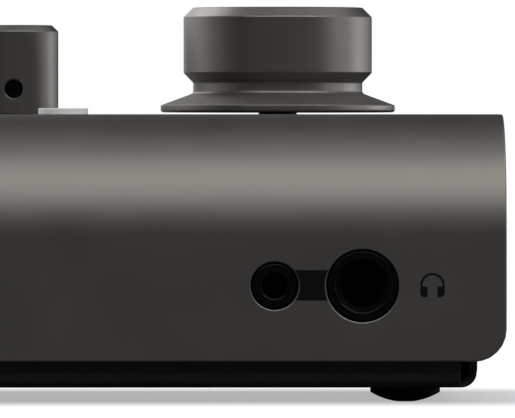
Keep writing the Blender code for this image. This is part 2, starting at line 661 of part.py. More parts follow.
def make_rotary(
    name, at, knob, facets, bore, screw_height, screw_length, screw_turn, body_name, body_size, materials,
):
    """A knob on a shaft, held by a set screw on the shaft's flat, over a body on the control board."""
    knob_material, shaft_material, screw_material, body_material = materials
    axis = group(f"{name}_turn", at)
    gap = min(z for _, z in knob)
    top = max(z for _, z in knob)
    profile = [(0, gap + bore), (KNOB_BORE, gap + bore), (KNOB_BORE, gap), *knob, (0, top)]
    turned = piece(f"{name}_knob", lathe(profile, facets), knob_material, parent=axis)
    screw_z = gap + screw_height
    reach = 2 * max(r for r, _ in knob)
    tunnel = moved(along_y(rod(SET_SCREW_HOLE, KNOB_BORE / 2, reach, HOLE_FACETS)), (0, 0, screw_z))
    cut(turned, turned_about_z(tunnel, screw_turn))
    body_bottom = CONTROL_BOARD_TOP + SEAT - SHELL_TOP
    body_top = body_bottom + CONTROL_BODY
    shaft_bottom = body_top - SHAFT_ROOT + SEAT
    shaft_top = gap + bore - SEAT
    shaft = piece(f"{name}_shaft", rod(SHAFT_RADIUS, shaft_bottom, shaft_top), shaft_material, parent=axis)
    far = 2 * SHAFT_RADIUS
    flat = prism(rectangle((0, SHAFT_FLAT + far / 2), (2 * far, far)), gap, shaft_top + far)
    cut(shaft, turned_about_z(flat, screw_turn))
    screw_start = SHAFT_FLAT + SEAT
    screw_end = screw_start + screw_length
    screw_mesh = along_y(rod(SET_SCREW_HOLE - THREAD, screw_start, screw_end, SMALL_FACETS))
    screw = piece(f"{name}_set_screw", screw_mesh, screw_material, (0, 0, screw_z), screw_turn, axis)
    cut(screw, along_y(rod(HEX_SOCKET, screw_end - HEX_SOCKET_DEPTH, screw_end + HEX_SOCKET_DEPTH, HEXAGON)))
    body_mesh = prism(rectangle((0, 0), body_size, SOCKET_CHAMFER, 1), body_bottom, body_top)
    body = piece(f"{name}_{body_name}", body_mesh, body_material, (*at, SHELL_TOP))
    join(body, rod(BUSH_RADIUS, body_top - SEAT, -BUSH_DROP))
    cut(body, rod(SHAFT_RADIUS + RUNNING, shaft_bottom - SEAT, gap))
    return turned


def turned_about_z(bm, degrees):
    """Turns a shape about its own Z axis."""
    turn = Matrix.Rotation(math.radians(degrees), 3, "Z")
    bmesh.ops.rotate(bm, verts=bm.verts, cent=(0, 0, 0), matrix=turn)
    return bm


def neck_fillet(foot_z):
    """The hollow curve that runs from the skirt's cone up into the neck, tangent to both."""
    slope = math.degrees(math.atan2(VOLUME_CONE, VOLUME_SKIRT - VOLUME_NECK))
    setback = VOLUME_FILLET * math.tan(math.radians(90 - slope) / 2)
    centre = (VOLUME_NECK + VOLUME_FILLET, foot_z + setback)
    return arc(centre, VOLUME_FILLET, 270 - slope, 180, VOLUME_FILLET_STEPS)


def volume_profile():
    """The undercut skirt, the cone above it, the waisted neck and the grip, from the underside up."""
    rim_bottom = VOLUME_GAP + VOLUME_UNDERCUT
    rim_top = rim_bottom + VOLUME_RIM
    neck_bottom = rim_top + VOLUME_CONE
    neck_top = neck_bottom + VOLUME_NECK_HEIGHT
    grip_bottom = neck_top + VOLUME_GRIP - VOLUME_NECK
    grip_top = grip_bottom + VOLUME_GRIP_HEIGHT
    underside = (VOLUME_SKIRT - VOLUME_UNDERCUT, VOLUME_GAP)
    skirt = [underside, (VOLUME_SKIRT, rim_bottom), (VOLUME_SKIRT, rim_top)]
    neck = [*neck_fillet(neck_bottom), (VOLUME_NECK, neck_top)]
    grip = [(VOLUME_GRIP, grip_bottom), (VOLUME_GRIP, grip_top)]
    return [*skirt, *neck, *grip, (VOLUME_GRIP - VOLUME_CHAMFER, grip_top + VOLUME_CHAMFER)]


def gain_profile():
    """A plain drum with a chamfered top edge."""
    top = GAIN_GAP + GAIN_HEIGHT
    side = [(GAIN_RADIUS, GAIN_GAP), (GAIN_RADIUS, top - GAIN_CHAMFER)]
    return side + [(GAIN_RADIUS - GAIN_CHAMFER, top)]


def make_gain(name, at, materials):
    """A gain knob. Its pointer is milled in the top, opposite the set screw."""
    screw_turn = 180
    knob = make_rotary(
        f"{name}_gain", at, gain_profile(), DRUM_FACETS, GAIN_BORE, GAIN_SCREW_HEIGHT, GAIN_SCREW, screw_turn,
        "pot", POT_SIZE, materials,
    )
    width, length, depth = GAIN_POINTER
    top = GAIN_GAP + GAIN_HEIGHT
    edge = GAIN_RADIUS - GAIN_CHAMFER / 2
    groove = rectangle((0, edge - length / 2), (width, length), width * ROUND_END, POINTER_STEPS)
    cut(knob, prism(groove, top - depth, top + depth))


def make_button(name, at, radius, cap_material, switch_material):
    """A push button: cap, hidden flange and stem in one, over a switch with a well for the stem."""
    flange_top = SHELL_CEILING - BUTTON_FLANGE_DROP - SHELL_TOP
    flange_bottom = flange_top - BUTTON_FLANGE
    stem_end = flange_bottom - BUTTON_STEM_LENGTH
    profile = [
        (0, stem_end), (BUTTON_STEM, stem_end), (BUTTON_STEM, flange_bottom),
        (radius + BUTTON_FLANGE, flange_bottom), (radius + BUTTON_FLANGE, flange_top), (radius, flange_top),
        (radius, BUTTON_RISE - BUTTON_EDGE), (radius - BUTTON_EDGE, BUTTON_RISE), (0, BUTTON_RISE),
    ]
    piece(f"{name}_button", lathe(profile, BUTTON_FACETS), cap_material, (*at, SHELL_TOP))
    bottom = CONTROL_BOARD_TOP + SEAT
    square = rectangle((0, 0), (SWITCH_SIDE, SWITCH_SIDE), SOCKET_CHAMFER, 1)
    switch = piece(f"{name}_switch", prism(square, bottom, bottom + SWITCH_HEIGHT), switch_material, (*at, 0))
    well_floor = SHELL_TOP + stem_end - BUTTON_TRAVEL - SEAT
    cut(switch, rod(SWITCH_WELL, well_floor, bottom + 2 * SWITCH_HEIGHT, SMALL_FACETS))


def make_meter(material):
    """One clear moulding under the top: a bar with a row of light ends that stand in the shell's holes."""
    bar_top = SHELL_CEILING - SEAT
    bar_bottom = bar_top - METER_BAR[1]
    middle = (METER_AT[0][0] + METER_AT[-1][0]) / 2
    length = METER_AT[-1][0] - METER_AT[0][0] + METER_BAR[0]
    width = METER_BAR[0]
    outline = rectangle((middle, METER_Y), (length, width), width * ROUND_END, POINTER_STEPS)
    meter = piece("meter_light_pipe", prism(outline, bar_bottom, bar_top), material)
    for x, y in METER_AT:
        light = rod(METER_LIGHT_RADIUS, bar_bottom + SEAT, SHELL_TOP - METER_SUNK, SMALL_FACETS)
        join(meter, moved(light, (x, y, 0)))


# Sockets

def make_jack(name, x, rear, width, body_top, panel_hole, mouth, bore, lead, depth, material):
    """A jack socket: a housing on the main board, and a bush that stands in the panel's hole."""
    face = REAR - SOCKET_SUNK if rear else FRONT + SOCKET_SUNK
    bush = SHELL_SHEET + SEAT - SOCKET_SUNK
    half = width / 2
    low, high = SOCKET_RISE - SEAT, -body_top
    edge = SOCKET_CHAMFER
    outline = [
        (half - edge, high), (half, high + edge), (half, low), (-half, low), (-half, high + edge),
        (-half + edge, high),
    ]
    housing = along_y(prism(outline, bush, depth + SOCKET_BACK))
    socket = piece(name, housing, material, (x, face, SOCKET_AXIS), 180 if rear else 0)
    join(socket, along_y(rod(panel_hole - SLIDING, 0, bush + SEAT)))
    flare = (mouth - bore) / lead * edge
    profile = [(0, -edge), (mouth + flare, -edge), (bore, lead), (bore, depth), (0, depth)]
    cut(socket, along_y(lathe(profile, HOLE_FACETS)))


def make_combi(material, screw_material):
    """A microphone socket with a ring for the plug's shell, three contact holes and a jack in the middle."""
    bush = SHELL_SHEET + SEAT - SOCKET_SUNK
    half_height = COMBI_RISE - SEAT
    outline = rectangle((0, 0), (COMBI_WIDTH, 2 * half_height), SOCKET_CHAMFER, 1)
    at = (COMBI_X, REAR - SOCKET_SUNK, COMBI_AXIS)
    socket = piece("mic_combi_socket", along_y(prism(outline, bush, bush + COMBI_LENGTH)), material, at, 180)
    join(socket, along_y(rod(COMBI_HOLE - SLIDING, 0, bush + SEAT, DRUM_FACETS)))
    inner, outer = COMBI_GROOVE
    before = -SOCKET_CHAMFER
    ring = [(inner, before), (outer, before), (outer, COMBI_GROOVE_DEPTH), (inner, COMBI_GROOVE_DEPTH)]
    cut(socket, along_y(lathe(ring, DRUM_FACETS, closed=True)))
    key_width, key_height = COMBI_KEY
    middle = (inner + outer) / 2
    key_size = (key_width, outer + key_height - middle)
    key_outline = rectangle((0, -(middle + key_size[1] / 2)), key_size)
    cut(socket, along_y(prism(key_outline, before, COMBI_GROOVE_DEPTH)))
    flare = (JACK_MOUTH - JACK_BORE) / JACK_LEAD * SOCKET_CHAMFER
    bore_depth = bush + COMBI_LENGTH - SOCKET_BACK
    bore = [(0, before), (COMBI_MOUTH + flare, before), (JACK_BORE, COMBI_MOUTH - JACK_BORE)]
    bore += [(JACK_BORE, bore_depth), (0, bore_depth)]
    cut(socket, along_y(lathe(bore, HOLE_FACETS)))
    for x, y in [arc((0, 0), COMBI_PIN_CIRCLE, angle, angle, 1)[0] for angle in COMBI_PIN_ANGLES]:
        cut(socket, along_y(moved(rod(COMBI_PIN_HOLE, before, COMBI_PIN_DEPTH, SMALL_FACETS), (x, y, 0))))
    for side, (x, z) in zip(("lower", "upper"), COMBI_SCREWS):
        tunnel = rod(COMBI_SCREW_RADIUS + THREAD, 0, COMBI_SCREW_LENGTH, SMALL_FACETS)
        cut(socket, along_y(moved(tunnel, (COMBI_X - x, COMBI_AXIS - z, 0))))
        bolt_mesh = along_y(countersunk_screw(COMBI_SCREW_HEAD, COMBI_SCREW_RADIUS, COMBI_SCREW_LENGTH))
        bolt = piece(f"combi_screw_{side}", bolt_mesh, screw_material, (x, REAR, z), 180)
        cut(bolt, along_y(rod(HEX_SOCKET, -HEX_SOCKET_DEPTH, HEX_SOCKET_DEPTH, HEXAGON)))


def make_usb(material):
    """A drawn steel shell with the contact tongue in its mouth."""
    width, height = USB_SHELL
    at = (USB_X, REAR - SOCKET_SUNK, USB_AXIS)
    shell = prism(rectangle((0, 0), USB_SHELL, height * ROUND_END), 0, USB_DEPTH)
    usb = piece("usb_socket", along_y(shell), material, at, 180)
    mouth_size = (width - 2 * USB_WALL, height - 2 * USB_WALL)
    mouth = rectangle((0, 0), mouth_size, mouth_size[1] * ROUND_END)
    cut(usb, along_y(prism(mouth, -USB_WALL, USB_CAVITY)))
    tongue_width, tongue_height, tongue_length = USB_TONGUE
    tongue = rectangle((0, 0), (tongue_width, tongue_height))
    join(usb, along_y(prism(tongue, USB_CAVITY - tongue_length, USB_CAVITY + USB_WALL)))


# The whole object

for leftover in list(bpy.data.objects):
    bpy.data.objects.remove(leftover)

shell_paint = finish("shell_paint", (0.045, 0.043, 0.041), 0.42, 0.6)
black_steel = finish("black_steel", (0.006, 0.006, 0.0065), 0.5)
rubber = finish("rubber", (0.004, 0.004, 0.004), 0.85)
knob_metal = finish("knob_metal", (0.1, 0.099, 0.097), 0.38, 0.9)
black_metal = finish("black_metal", (0.008, 0.008, 0.008), 0.45, 0.5)
bright_metal = finish("bright_metal", (0.55, 0.55, 0.54), 0.3, 1.0)
brass = finish("brass", (0.6, 0.45, 0.2), 0.35, 1.0)
board = finish("board", (0.01, 0.06, 0.03), 0.5)
black_plastic = finish("black_plastic", (0.006, 0.006, 0.006), 0.55)
chip_resin = finish("chip_resin", (0.012, 0.012, 0.013), 0.6)
sleeve_plastic = finish("sleeve_plastic", (0.015, 0.02, 0.06), 0.4)
milky_plastic = finish("milky_plastic", (0.75, 0.77, 0.76), 0.35)
pale_plastic = finish("pale_plastic", (0.6, 0.6, 0.59), 0.45)

make_shell(shell_paint)
make_base_pan(black_steel)
for foot_corner, foot_at in FOOT_AT.items():
    make_foot(foot_corner, foot_at, rubber)
make_stack(board, brass, bright_metal)
make_board_parts(black_plastic, chip_resin, sleeve_plastic)
rotary_materials = (knob_metal, black_metal, black_metal, black_plastic)
make_rotary(
    "volume", VOLUME_AT, volume_profile(), KNOB_FACETS, VOLUME_BORE, VOLUME_SCREW_HEIGHT, VOLUME_SCREW, 0,
    "encoder", ENCODER_SIZE, rotary_materials,
)
make_gain("mic", MIC_GAIN_AT, rotary_materials)
make_gain("di", DI_GAIN_AT, rotary_materials)
for button_name, button_at in BUTTON_AT.items():
    make_button(button_name, button_at, BUTTON_RADIUS, pale_plastic, black_plastic)
make_button("phantom", PHANTOM_AT, PHANTOM_RADIUS, pale_plastic, black_plastic)
make_meter(milky_plastic)
jack_sizes = (JACK_WIDTH, JACK_BODY_TOP, JACK_HOLE, JACK_MOUTH, JACK_BORE, JACK_LEAD, JACK_DEPTH)
mini_sizes = (MINI_WIDTH, MINI_BODY_TOP, MINI_HOLE, MINI_MOUTH, MINI_BORE, MINI_LEAD, MINI_DEPTH)
make_jack("di_jack", DI_X, False, *jack_sizes, black_plastic)
make_jack("phones_jack_small", MINI_X, False, *mini_sizes, black_plastic)
make_jack("phones_jack_large", PHONES_X, False, *jack_sizes, black_plastic)
make_jack("line_out_left", LINE_OUT_X[0], True, *jack_sizes, black_plastic)
make_jack("line_out_right", LINE_OUT_X[1], True, *jack_sizes, black_plastic)
make_combi(black_plastic, black_metal)
make_usb(bright_metal)
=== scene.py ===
import math

import bmesh
import bpy
from mathutils import Matrix, Vector


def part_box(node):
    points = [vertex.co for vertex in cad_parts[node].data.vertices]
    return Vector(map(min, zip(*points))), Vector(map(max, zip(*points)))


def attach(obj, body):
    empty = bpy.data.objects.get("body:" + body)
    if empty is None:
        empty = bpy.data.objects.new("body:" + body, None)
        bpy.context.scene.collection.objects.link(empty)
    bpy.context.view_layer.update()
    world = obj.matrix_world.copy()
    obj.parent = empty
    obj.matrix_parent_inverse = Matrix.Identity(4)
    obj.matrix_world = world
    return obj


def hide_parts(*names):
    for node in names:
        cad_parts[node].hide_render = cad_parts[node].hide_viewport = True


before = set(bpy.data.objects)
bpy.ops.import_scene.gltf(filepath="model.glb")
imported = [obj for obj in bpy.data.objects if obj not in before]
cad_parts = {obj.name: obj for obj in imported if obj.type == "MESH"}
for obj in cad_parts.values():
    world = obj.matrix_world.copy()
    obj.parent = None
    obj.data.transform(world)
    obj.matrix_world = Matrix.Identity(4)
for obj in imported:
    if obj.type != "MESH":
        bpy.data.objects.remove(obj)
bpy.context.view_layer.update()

# Base pan
# The tray that the unit is built into: steel sheet folded up on four sides, with a relief notch at each
# corner, painted satin black. Four countersunk holes in its floor take the screws of the standoffs.
MM = 0.001
PAN_SHEET = 1.2 * MM
PAN_BEND = 2.4 * MM
PAN_BEND_STEPS = 10
PAN_RELIEF = 0.2 * MM
PAN_FRONT_FLANGE = 7.4 * MM
PAN_REAR_FLANGE = 6.9 * MM
PAN_WALL_DROP = 1 * MM  # where its side walls reach their full depth, below the shell's edge
PAN_EDGE = 0.14 * MM
PAN_BLACK = (0.03, 0.03, 0.033)
SHELL_SHEET = 2.5 * MM
FRONT_BEND = 18.5 * MM
REAR_BEND = 6 * MM
WALL_GAP = 0.5 * MM
SCREW_HEAD = 2.65 * MM
SCREW_SHANK = 1.5 * MM
SCREW_CLEARANCE = 0.3 * MM
SINK_REACH = 3 * MM
SINK_FACETS = 48
CUT_PROUD = 1 * MM  # how far a cutter stands out of the face that it cuts
CORNERS = ("front_left", "front_right", "rear_left", "rear_right")
SHARP = math.radians(38)  # an edge that turns further than this is shaded sharp
SLIVER = 0.0005 * MM
GRAIN_GLOSS = 0.12  # how far a finish's grain and its drift change its roughness
DRIFT_GLOSS = 0.08
NOISE_SPAN = (0.3, 0.7)  # where most of a noise's values lie


class Wire:
    """A socket of a node tree. Arithmetic on wires adds Math nodes, and node() adds any other node."""

    def __init__(self, tree, socket=None):
        self.tree = tree
        self.socket = socket

    def node(self, kind, settings=None, inputs=None, output=0):
        added = self.tree.nodes.new(kind)
        for name, value in (settings or {}).items():
            setattr(added, name, value)
        for key, value in (inputs or {}).items():
            if isinstance(value, Wire):
                self.tree.links.new(value.socket, added.inputs[key])
            else:
                added.inputs[key].default_value = value
        return Wire(self.tree, added.outputs[output] if added.outputs else None)

    def output(self, key):
        return Wire(self.tree, self.socket.node.outputs[key])

    def math(self, operation, *values):
        return self.node("ShaderNodeMath", {"operation": operation}, dict(enumerate(values)))

    def __add__(self, other):
        return self.math("ADD", self, other)

    def __radd__(self, other):
        return self.math("ADD", other, self)

    def __sub__(self, other):
        return self.math("SUBTRACT", self, other)

    def __rsub__(self, other):
        return self.math("SUBTRACT", other, self)

    def __mul__(self, other):
        return self.math("MULTIPLY", self, other)

    def __rmul__(self, other):
        return self.math("MULTIPLY", other, self)

    def __truediv__(self, other):
        return self.math("DIVIDE", self, other)

    def __rtruediv__(self, other):
        return self.math("DIVIDE", other, self)

    def between(self, low, high):
        return self.math("MINIMUM", self.math("MAXIMUM", self, low), high)

    def step(self, low, high):
        """Rises smoothly from 0 at low to 1 at high."""
        settings = {"interpolation_type": "SMOOTHSTEP"}
        return self.node("ShaderNodeMapRange", settings, {0: self, 1: low, 2: high})

    def mix(self, first, second):
        """A colour between two colours, by this wire."""
        return self.node("ShaderNodeMix", {"data_type": "RGBA"}, {0: self, 6: first, 7: second}, output=2)


def start_nodes(owner):
    """Empties the node tree of a material or a world, and gives a wire to build it from."""
    owner.use_nodes = True
    owner.node_tree.nodes.clear()
    return Wire(owner.node_tree)


def surface(start, inputs):
    """Ends a material in one shader with these inputs."""
    shader = start.node("ShaderNodeBsdfPrincipled", {}, inputs)
    start.node("ShaderNodeOutputMaterial", {}, {"Surface": shader})


def noise(start, size, detail=2.0, where=None):
    """Noise with grains of about one size, on the piece's own place in the unit unless told where."""
    where = where or start.node("ShaderNodeTexCoord", output="Object")
    return start.node("ShaderNodeTexNoise", {}, {"Vector": where, "Scale": 1 / size, "Detail": detail})


def shade(colour, amount):
    return (*[channel * amount for channel in colour], 1)


def coat(name, colour, roughness, grain, depth, metallic=0.0, gloss=0.5, spread=0.12):
    """A paint, plastic or plain metal: its colour drifts slowly, and a fine grain breaks up its gloss."""
    material = bpy.data.materials.new(name)
    start = start_nodes(material)
    fine = noise(start, grain)
    broad = noise(start, size=9 * MM, detail=3.0)
    surface(start, {
        "Base Color": broad.step(*NOISE_SPAN).mix(shade(colour, 1 - spread), shade(colour, 1 + spread)),
        "Roughness": roughness + (fine - 0.5) * GRAIN_GLOSS + (broad - 0.5) * DRIFT_GLOSS,
        "Normal": start.node("ShaderNodeBump", {}, {"Height": fine, "Distance": depth}),
        "Metallic": metallic, "Specular IOR Level": gloss,
    })
    return material


def arc(centre, radius, start, end, steps):
    """Points along an arc between two angles in degrees."""
    angles = [math.radians(start + (end - start) * i / steps) for i in range(steps + 1)]
    return [(centre[0] + radius * math.cos(a), centre[1] + radius * math.sin(a)) for a in angles]


def at_corners(kind):
    """The four nodes of one kind, one near each corner."""
    return [f"{kind}_{corner}" for corner in CORNERS]


def base_of(node):
    """The middle of the underside of a node's box."""
    low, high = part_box(node)
    return (low.x + high.x) / 2, (low.y + high.y) / 2, low.z


def add_object(name, data):
    """Puts a mesh, a lamp or a camera into the scene."""
    obj = bpy.data.objects.new(name, data)
    bpy.context.scene.collection.objects.link(obj)
    return obj


def make_object(name, bm, material=None):
    """An object at the origin from a finished shape, shaded smooth between its sharp edges."""
    bmesh.ops.recalc_face_normals(bm, faces=bm.faces)
    mesh = bpy.data.meshes.new(name)
    bm.to_mesh(mesh)
    bm.free()
    if material:
        mesh.materials.append(material)
    mesh.shade_smooth()
    mesh.set_sharp_from_angle(angle=SHARP)
    return add_object(name, mesh)


def settle(obj):
    """Turns an object's modifiers into plain mesh."""
    evaluated = obj.evaluated_get(bpy.context.evaluated_depsgraph_get())
    mesh = bpy.data.meshes.new_from_object(evaluated)
    obj.modifiers.clear()
    obj.data = mesh
    return obj


def round_over(obj, width):
    """Rounds an object's square edges."""
    modifier = obj.modifiers.new("edge", "BEVEL")
    modifier.width = width
    modifier.segments = 2
    modifier.limit_method = "ANGLE"
    modifier.angle_limit = math.radians(50)
    return settle(obj)


def even_normals(obj):
    """Keeps flat faces flat next to small rounded edges."""
    obj.data.set_sharp_from_angle(angle=SHARP)
    modifier = obj.modifiers.new("normals", "WEIGHTED_NORMAL")
    modifier.keep_sharp = True
    return settle(obj)


def cut(obj, bm):
    """Takes a shape away from an object, and clears the slivers that the cut leaves."""
    cutter = make_object("cutter", bm)
    modifier = obj.modifiers.new("cut", "BOOLEAN")
    modifier.operation = "DIFFERENCE"
    modifier.object = cutter
    settle(obj)
    bpy.data.objects.remove(cutter)
    clean = bmesh.new()
    clean.from_mesh(obj.data)
    bmesh.ops.triangulate(clean, faces=clean.faces)
    bmesh.ops.dissolve_degenerate(clean, edges=clean.edges, dist=SLIVER)
    clean.to_mesh(obj.data)
    clean.free()
    return obj


def turned(profile, facets, at=(0, 0, 0)):
    """A turned shape about Z from (radius, height) points that start and end on the axis."""
    bm = bmesh.new()
    verts = [bm.verts.new((r, 0, z)) for r, z in profile]
    edges = [bm.edges.new(pair) for pair in zip(verts, verts[1:])]
    bmesh.ops.spin(
        bm, geom=verts + edges, cent=(0, 0, 0), axis=(0, 0, 1),
        angle=2 * math.pi, steps=facets, use_merge=True,
    )
    bmesh.ops.remove_doubles(bm, verts=bm.verts, dist=0.0001 * MM)
    bmesh.ops.translate(bm, verts=bm.verts, vec=at)
    return bm


def hand_over(obj, body, slot, *nodes):
    """Gives a finished piece to its body, in place of the CAD nodes that it stands for."""
    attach(obj, body)
    if nodes:
        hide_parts(*nodes)


def push_edge(bm, edge, outward, out, up):
    """Extrudes one edge of the sheet outwards and upwards, and returns the new edge."""
    grown = bmesh.ops.extrude_edge_only(bm, edges=[edge])["geom"]
    verts = [item for item in grown if isinstance(item, bmesh.types.BMVert)]
    bmesh.ops.translate(bm, verts=verts, vec=(outward[0] * out, outward[1] * out, up))
    edges = [item for item in grown if isinstance(item, bmesh.types.BMEdge)]
    return next(item for item in edges if set(item.verts) == set(verts))


def fold(bm, edge, outward, height):
    """Bends a flange up from an edge of the floor, and returns its last edge."""
    ahead = (0.0, 0.0)
    for i in range(1, PAN_BEND_STEPS + 1):
        angle = math.pi / 2 * i / PAN_BEND_STEPS
        reach = (PAN_BEND * math.sin(angle), PAN_BEND * (1 - math.cos(angle)))
        edge = push_edge(bm, edge, outward, reach[0] - ahead[0], reach[1] - ahead[1])
        ahead = reach
    return push_edge(bm, edge, outward, 0, height - PAN_BEND) if height > PAN_BEND else edge


shell_low, shell_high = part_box("shell")
pan_low, pan_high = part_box("base_pan")
pan_black = coat("pan_black", PAN_BLACK, roughness=0.52, grain=0.3 * MM, depth=0.006 * MM, gloss=0.3)
tangent_x, tangent_y = pan_high.x - PAN_BEND, pan_high.y - PAN_BEND
flange_x = tangent_x - PAN_RELIEF
sheet = bmesh.new()
rim = [(-tangent_x, -1), (-flange_x, -1), (flange_x, -1), (tangent_x, -1)]
rim += [(-x, 1) for x, _ in rim]
floor_verts = [sheet.verts.new((x, side * tangent_y, pan_low.z)) for x, side in rim]
sheet.faces.new(floor_verts)
fold(sheet, sheet.edges.get(floor_verts[1:3]), (0, -1), PAN_FRONT_FLANGE)
fold(sheet, sheet.edges.get(floor_verts[5:7]), (0, 1), PAN_REAR_FLANGE)
inner = SHELL_SHEET + WALL_GAP
wall_start = shell_low.z - PAN_WALL_DROP
front_centre = (shell_low.y + FRONT_BEND, shell_high.z - FRONT_BEND)
rear_centre = (shell_high.y - REAR_BEND, shell_high.z - REAR_BEND)
wall = [(shell_low.y + inner, wall_start)]
wall += arc(front_centre, FRONT_BEND - inner, 180, 90, steps=32)
wall += arc(rear_centre, REAR_BEND - inner, 90, 0, steps=12)
wall += [(shell_high.y - inner, wall_start)]
for side, ends in ((1, (floor_verts[3], floor_verts[4])), (-1, (floor_verts[7], floor_verts[0]))):
    top_edge = fold(sheet, sheet.edges.get(ends), (side, 0), PAN_BEND)
    front_vert, rear_vert = sorted(top_edge.verts, key=lambda vert: vert.co.y)
    wall_verts = [sheet.verts.new((front_vert.co.x, y, z)) for y, z in wall]
    sheet.faces.new([front_vert, *wall_verts, rear_vert])
bmesh.ops.recalc_face_normals(sheet, faces=sheet.faces)
if min(sheet.faces, key=lambda face: face.calc_center_median().z).normal.z > 0:
    bmesh.ops.reverse_faces(sheet, faces=sheet.faces)
bmesh.ops.solidify(sheet, geom=sheet.faces[:], thickness=PAN_SHEET)
pan = round_over(make_object("base_pan_sheet", sheet, pan_black), PAN_EDGE)
wide, narrow = SCREW_HEAD + SCREW_CLEARANCE, SCREW_SHANK + SCREW_CLEARANCE
sink = [
    (0, -CUT_PROUD), (wide, -CUT_PROUD), (wide, 0), (narrow, wide - narrow), (narrow, SINK_REACH),
    (0, SINK_REACH),
]
screw_places = [base_of(node) for node in at_corners("base_screw")]
for place in screw_places:
    cut(pan, turned(sink, SINK_FACETS, place))
hand_over(even_normals(pan), "base", "black_steel", "base_pan")

# Base screws
# Four countersunk machine screws of zinc-plated steel with hexagon sockets, driven up through the pan's
# floor into the standoffs. Their heads lie flush with the underside.
SCREW_LENGTH = 3.6 * MM
HEX_SOCKET = 0.95 * MM
HEX_DEPTH = 1.2 * MM


def geometry_tree(name, inputs):
    """A geometry tree with a Geometry input, other inputs by name and kind, and a Geometry output."""
    tree = bpy.data.node_groups.new(name, "GeometryNodeTree")
    tree.is_modifier = True
    tree.interface.new_socket("Geometry", in_out="OUTPUT", socket_type="NodeSocketGeometry")
    for label, kind in {"Geometry": "Geometry", **inputs, "Finish": "Material"}.items():
        tree.interface.new_socket(label, in_out="INPUT", socket_type="NodeSocket" + kind)
    return tree, Wire(tree).node("NodeGroupInput")


def close_tree(start, geometry):
    """Makes instances real, sets the finish and ends the tree."""
    real = start.node("GeometryNodeRealizeInstances", {}, {"Geometry": geometry})
    done = start.node("GeometryNodeSetMaterial", {}, {"Geometry": real, "Material": start.output("Finish")})
    start.node("NodeGroupOutput", {}, {0: done})


def close_with_copies(start, points):
    """Ends a tree in copies of its Piece on points."""
    inputs = {"Object": start.output("Piece"), "As Instance": True}
    piece = start.node("GeometryNodeObjectInfo", {}, inputs, "Geometry")
    close_tree(start, start.node("GeometryNodeInstanceOnPoints", {}, {"Points": points, "Instance": piece}))


def grow(obj, tree, values):
    """Runs a geometry tree on an object and keeps the result as plain mesh."""
    modifier = obj.modifiers.new(tree.name, "NODES")
    modifier.node_group = tree
    for item in tree.interface.items_tree:
        if item.in_out == "INPUT" and item.name in values:
            modifier[item.identifier] = values[item.name]
    return settle(obj)


copies_tree, copies = geometry_tree("copies_at_points", {"Piece": "Object"})
close_with_copies(copies, copies.output("Geometry"))


def copy_to(name, places, piece, finish):
    """One object that holds a copy of a piece at each place. The piece itself is used up."""
    points = bpy.data.meshes.new(name)
    points.from_pydata(places, [], [])
    obj = grow(add_object(name, points), copies_tree, {"Piece": piece, "Finish": finish})
    bpy.data.objects.remove(piece)
    return obj


def eased(points, radius, steps=3):
    """A profile with rounded corners. A third value on a point is how far its own curve reaches."""
    reaches = [point[2] if len(point) > 2 else radius for point in points]
    path = [Vector(point[:2]) for point in points]
    result = [path[0]]
    for before, corner, after, reach in zip(path, path[1:], path[2:], reaches[1:]):
        reach = min(reach, (before - corner).length / 3, (after - corner).length / 3)
        first = corner + (before - corner).normalized() * reach
        last = corner + (after - corner).normalized() * reach
        for i in range(steps + 1):
            t = i / steps
            result.append(first * (1 - t) ** 2 + corner * 2 * t * (1 - t) + last * t ** 2)
    return [tuple(point) for point in result + [path[-1]]]


def thickened(bm, height):
    """A straight solid that stands on flat faces."""
    grown = bmesh.ops.extrude_face_region(bm, geom=bm.faces[:], use_keep_orig=True)["geom"]
    verts = [item for item in grown if isinstance(item, bmesh.types.BMVert)]
    bmesh.ops.translate(bm, verts=verts, vec=(0, 0, height))
    return bm


def prism(outline, bottom, top):
    """A straight solid on an outline in X and Y."""
    bm = bmesh.new()
    bm.faces.new([bm.verts.new((x, y, bottom)) for x, y in outline])
    return thickened(bm, top - bottom)


def circle(centre, radius, facets):
    return arc(centre, radius, 0, 360, facets)[:-1]


def cut_hexagon(screw):
    """Sinks a hexagon socket into the end of a screw that lies at the origin."""
    return cut(screw, prism(circle((0, 0), HEX_SOCKET, 6), -HEX_DEPTH, HEX_DEPTH))


def countersunk_screw(head, shank, length):
    """A screw with its head's face at the origin, running up Z."""
    profile = [(0, 0), (head, 0), (shank, head - shank), (shank, length), (0, length)]
    screw = make_object("screw", turned(eased(profile, radius=0.12 * MM), facets=40))
    return even_normals(cut_hexagon(screw))


zinc = coat("zinc_plate", (0.5, 0.5, 0.49), roughness=0.36, grain=0.12 * MM, depth=0.002 * MM, metallic=1.0)
base_screw = countersunk_screw(SCREW_HEAD, SCREW_SHANK, SCREW_LENGTH)
base_screws = copy_to("base_screws", screw_places, base_screw, zinc)
hand_over(base_screws, "base", "bright_metal", *at_corners("base_screw"))

# Feet
# Four shallow domes of soft black rubber, stuck under the corners of the pan. Each is worn a little flat
# where it meets the table.
FOOT_RADIUS = 5.35 * MM
FOOT_DOME = 10.1 * MM
FOOT_FLAT = 1.2 * MM
FOOT_EDGE = 0.1 * MM

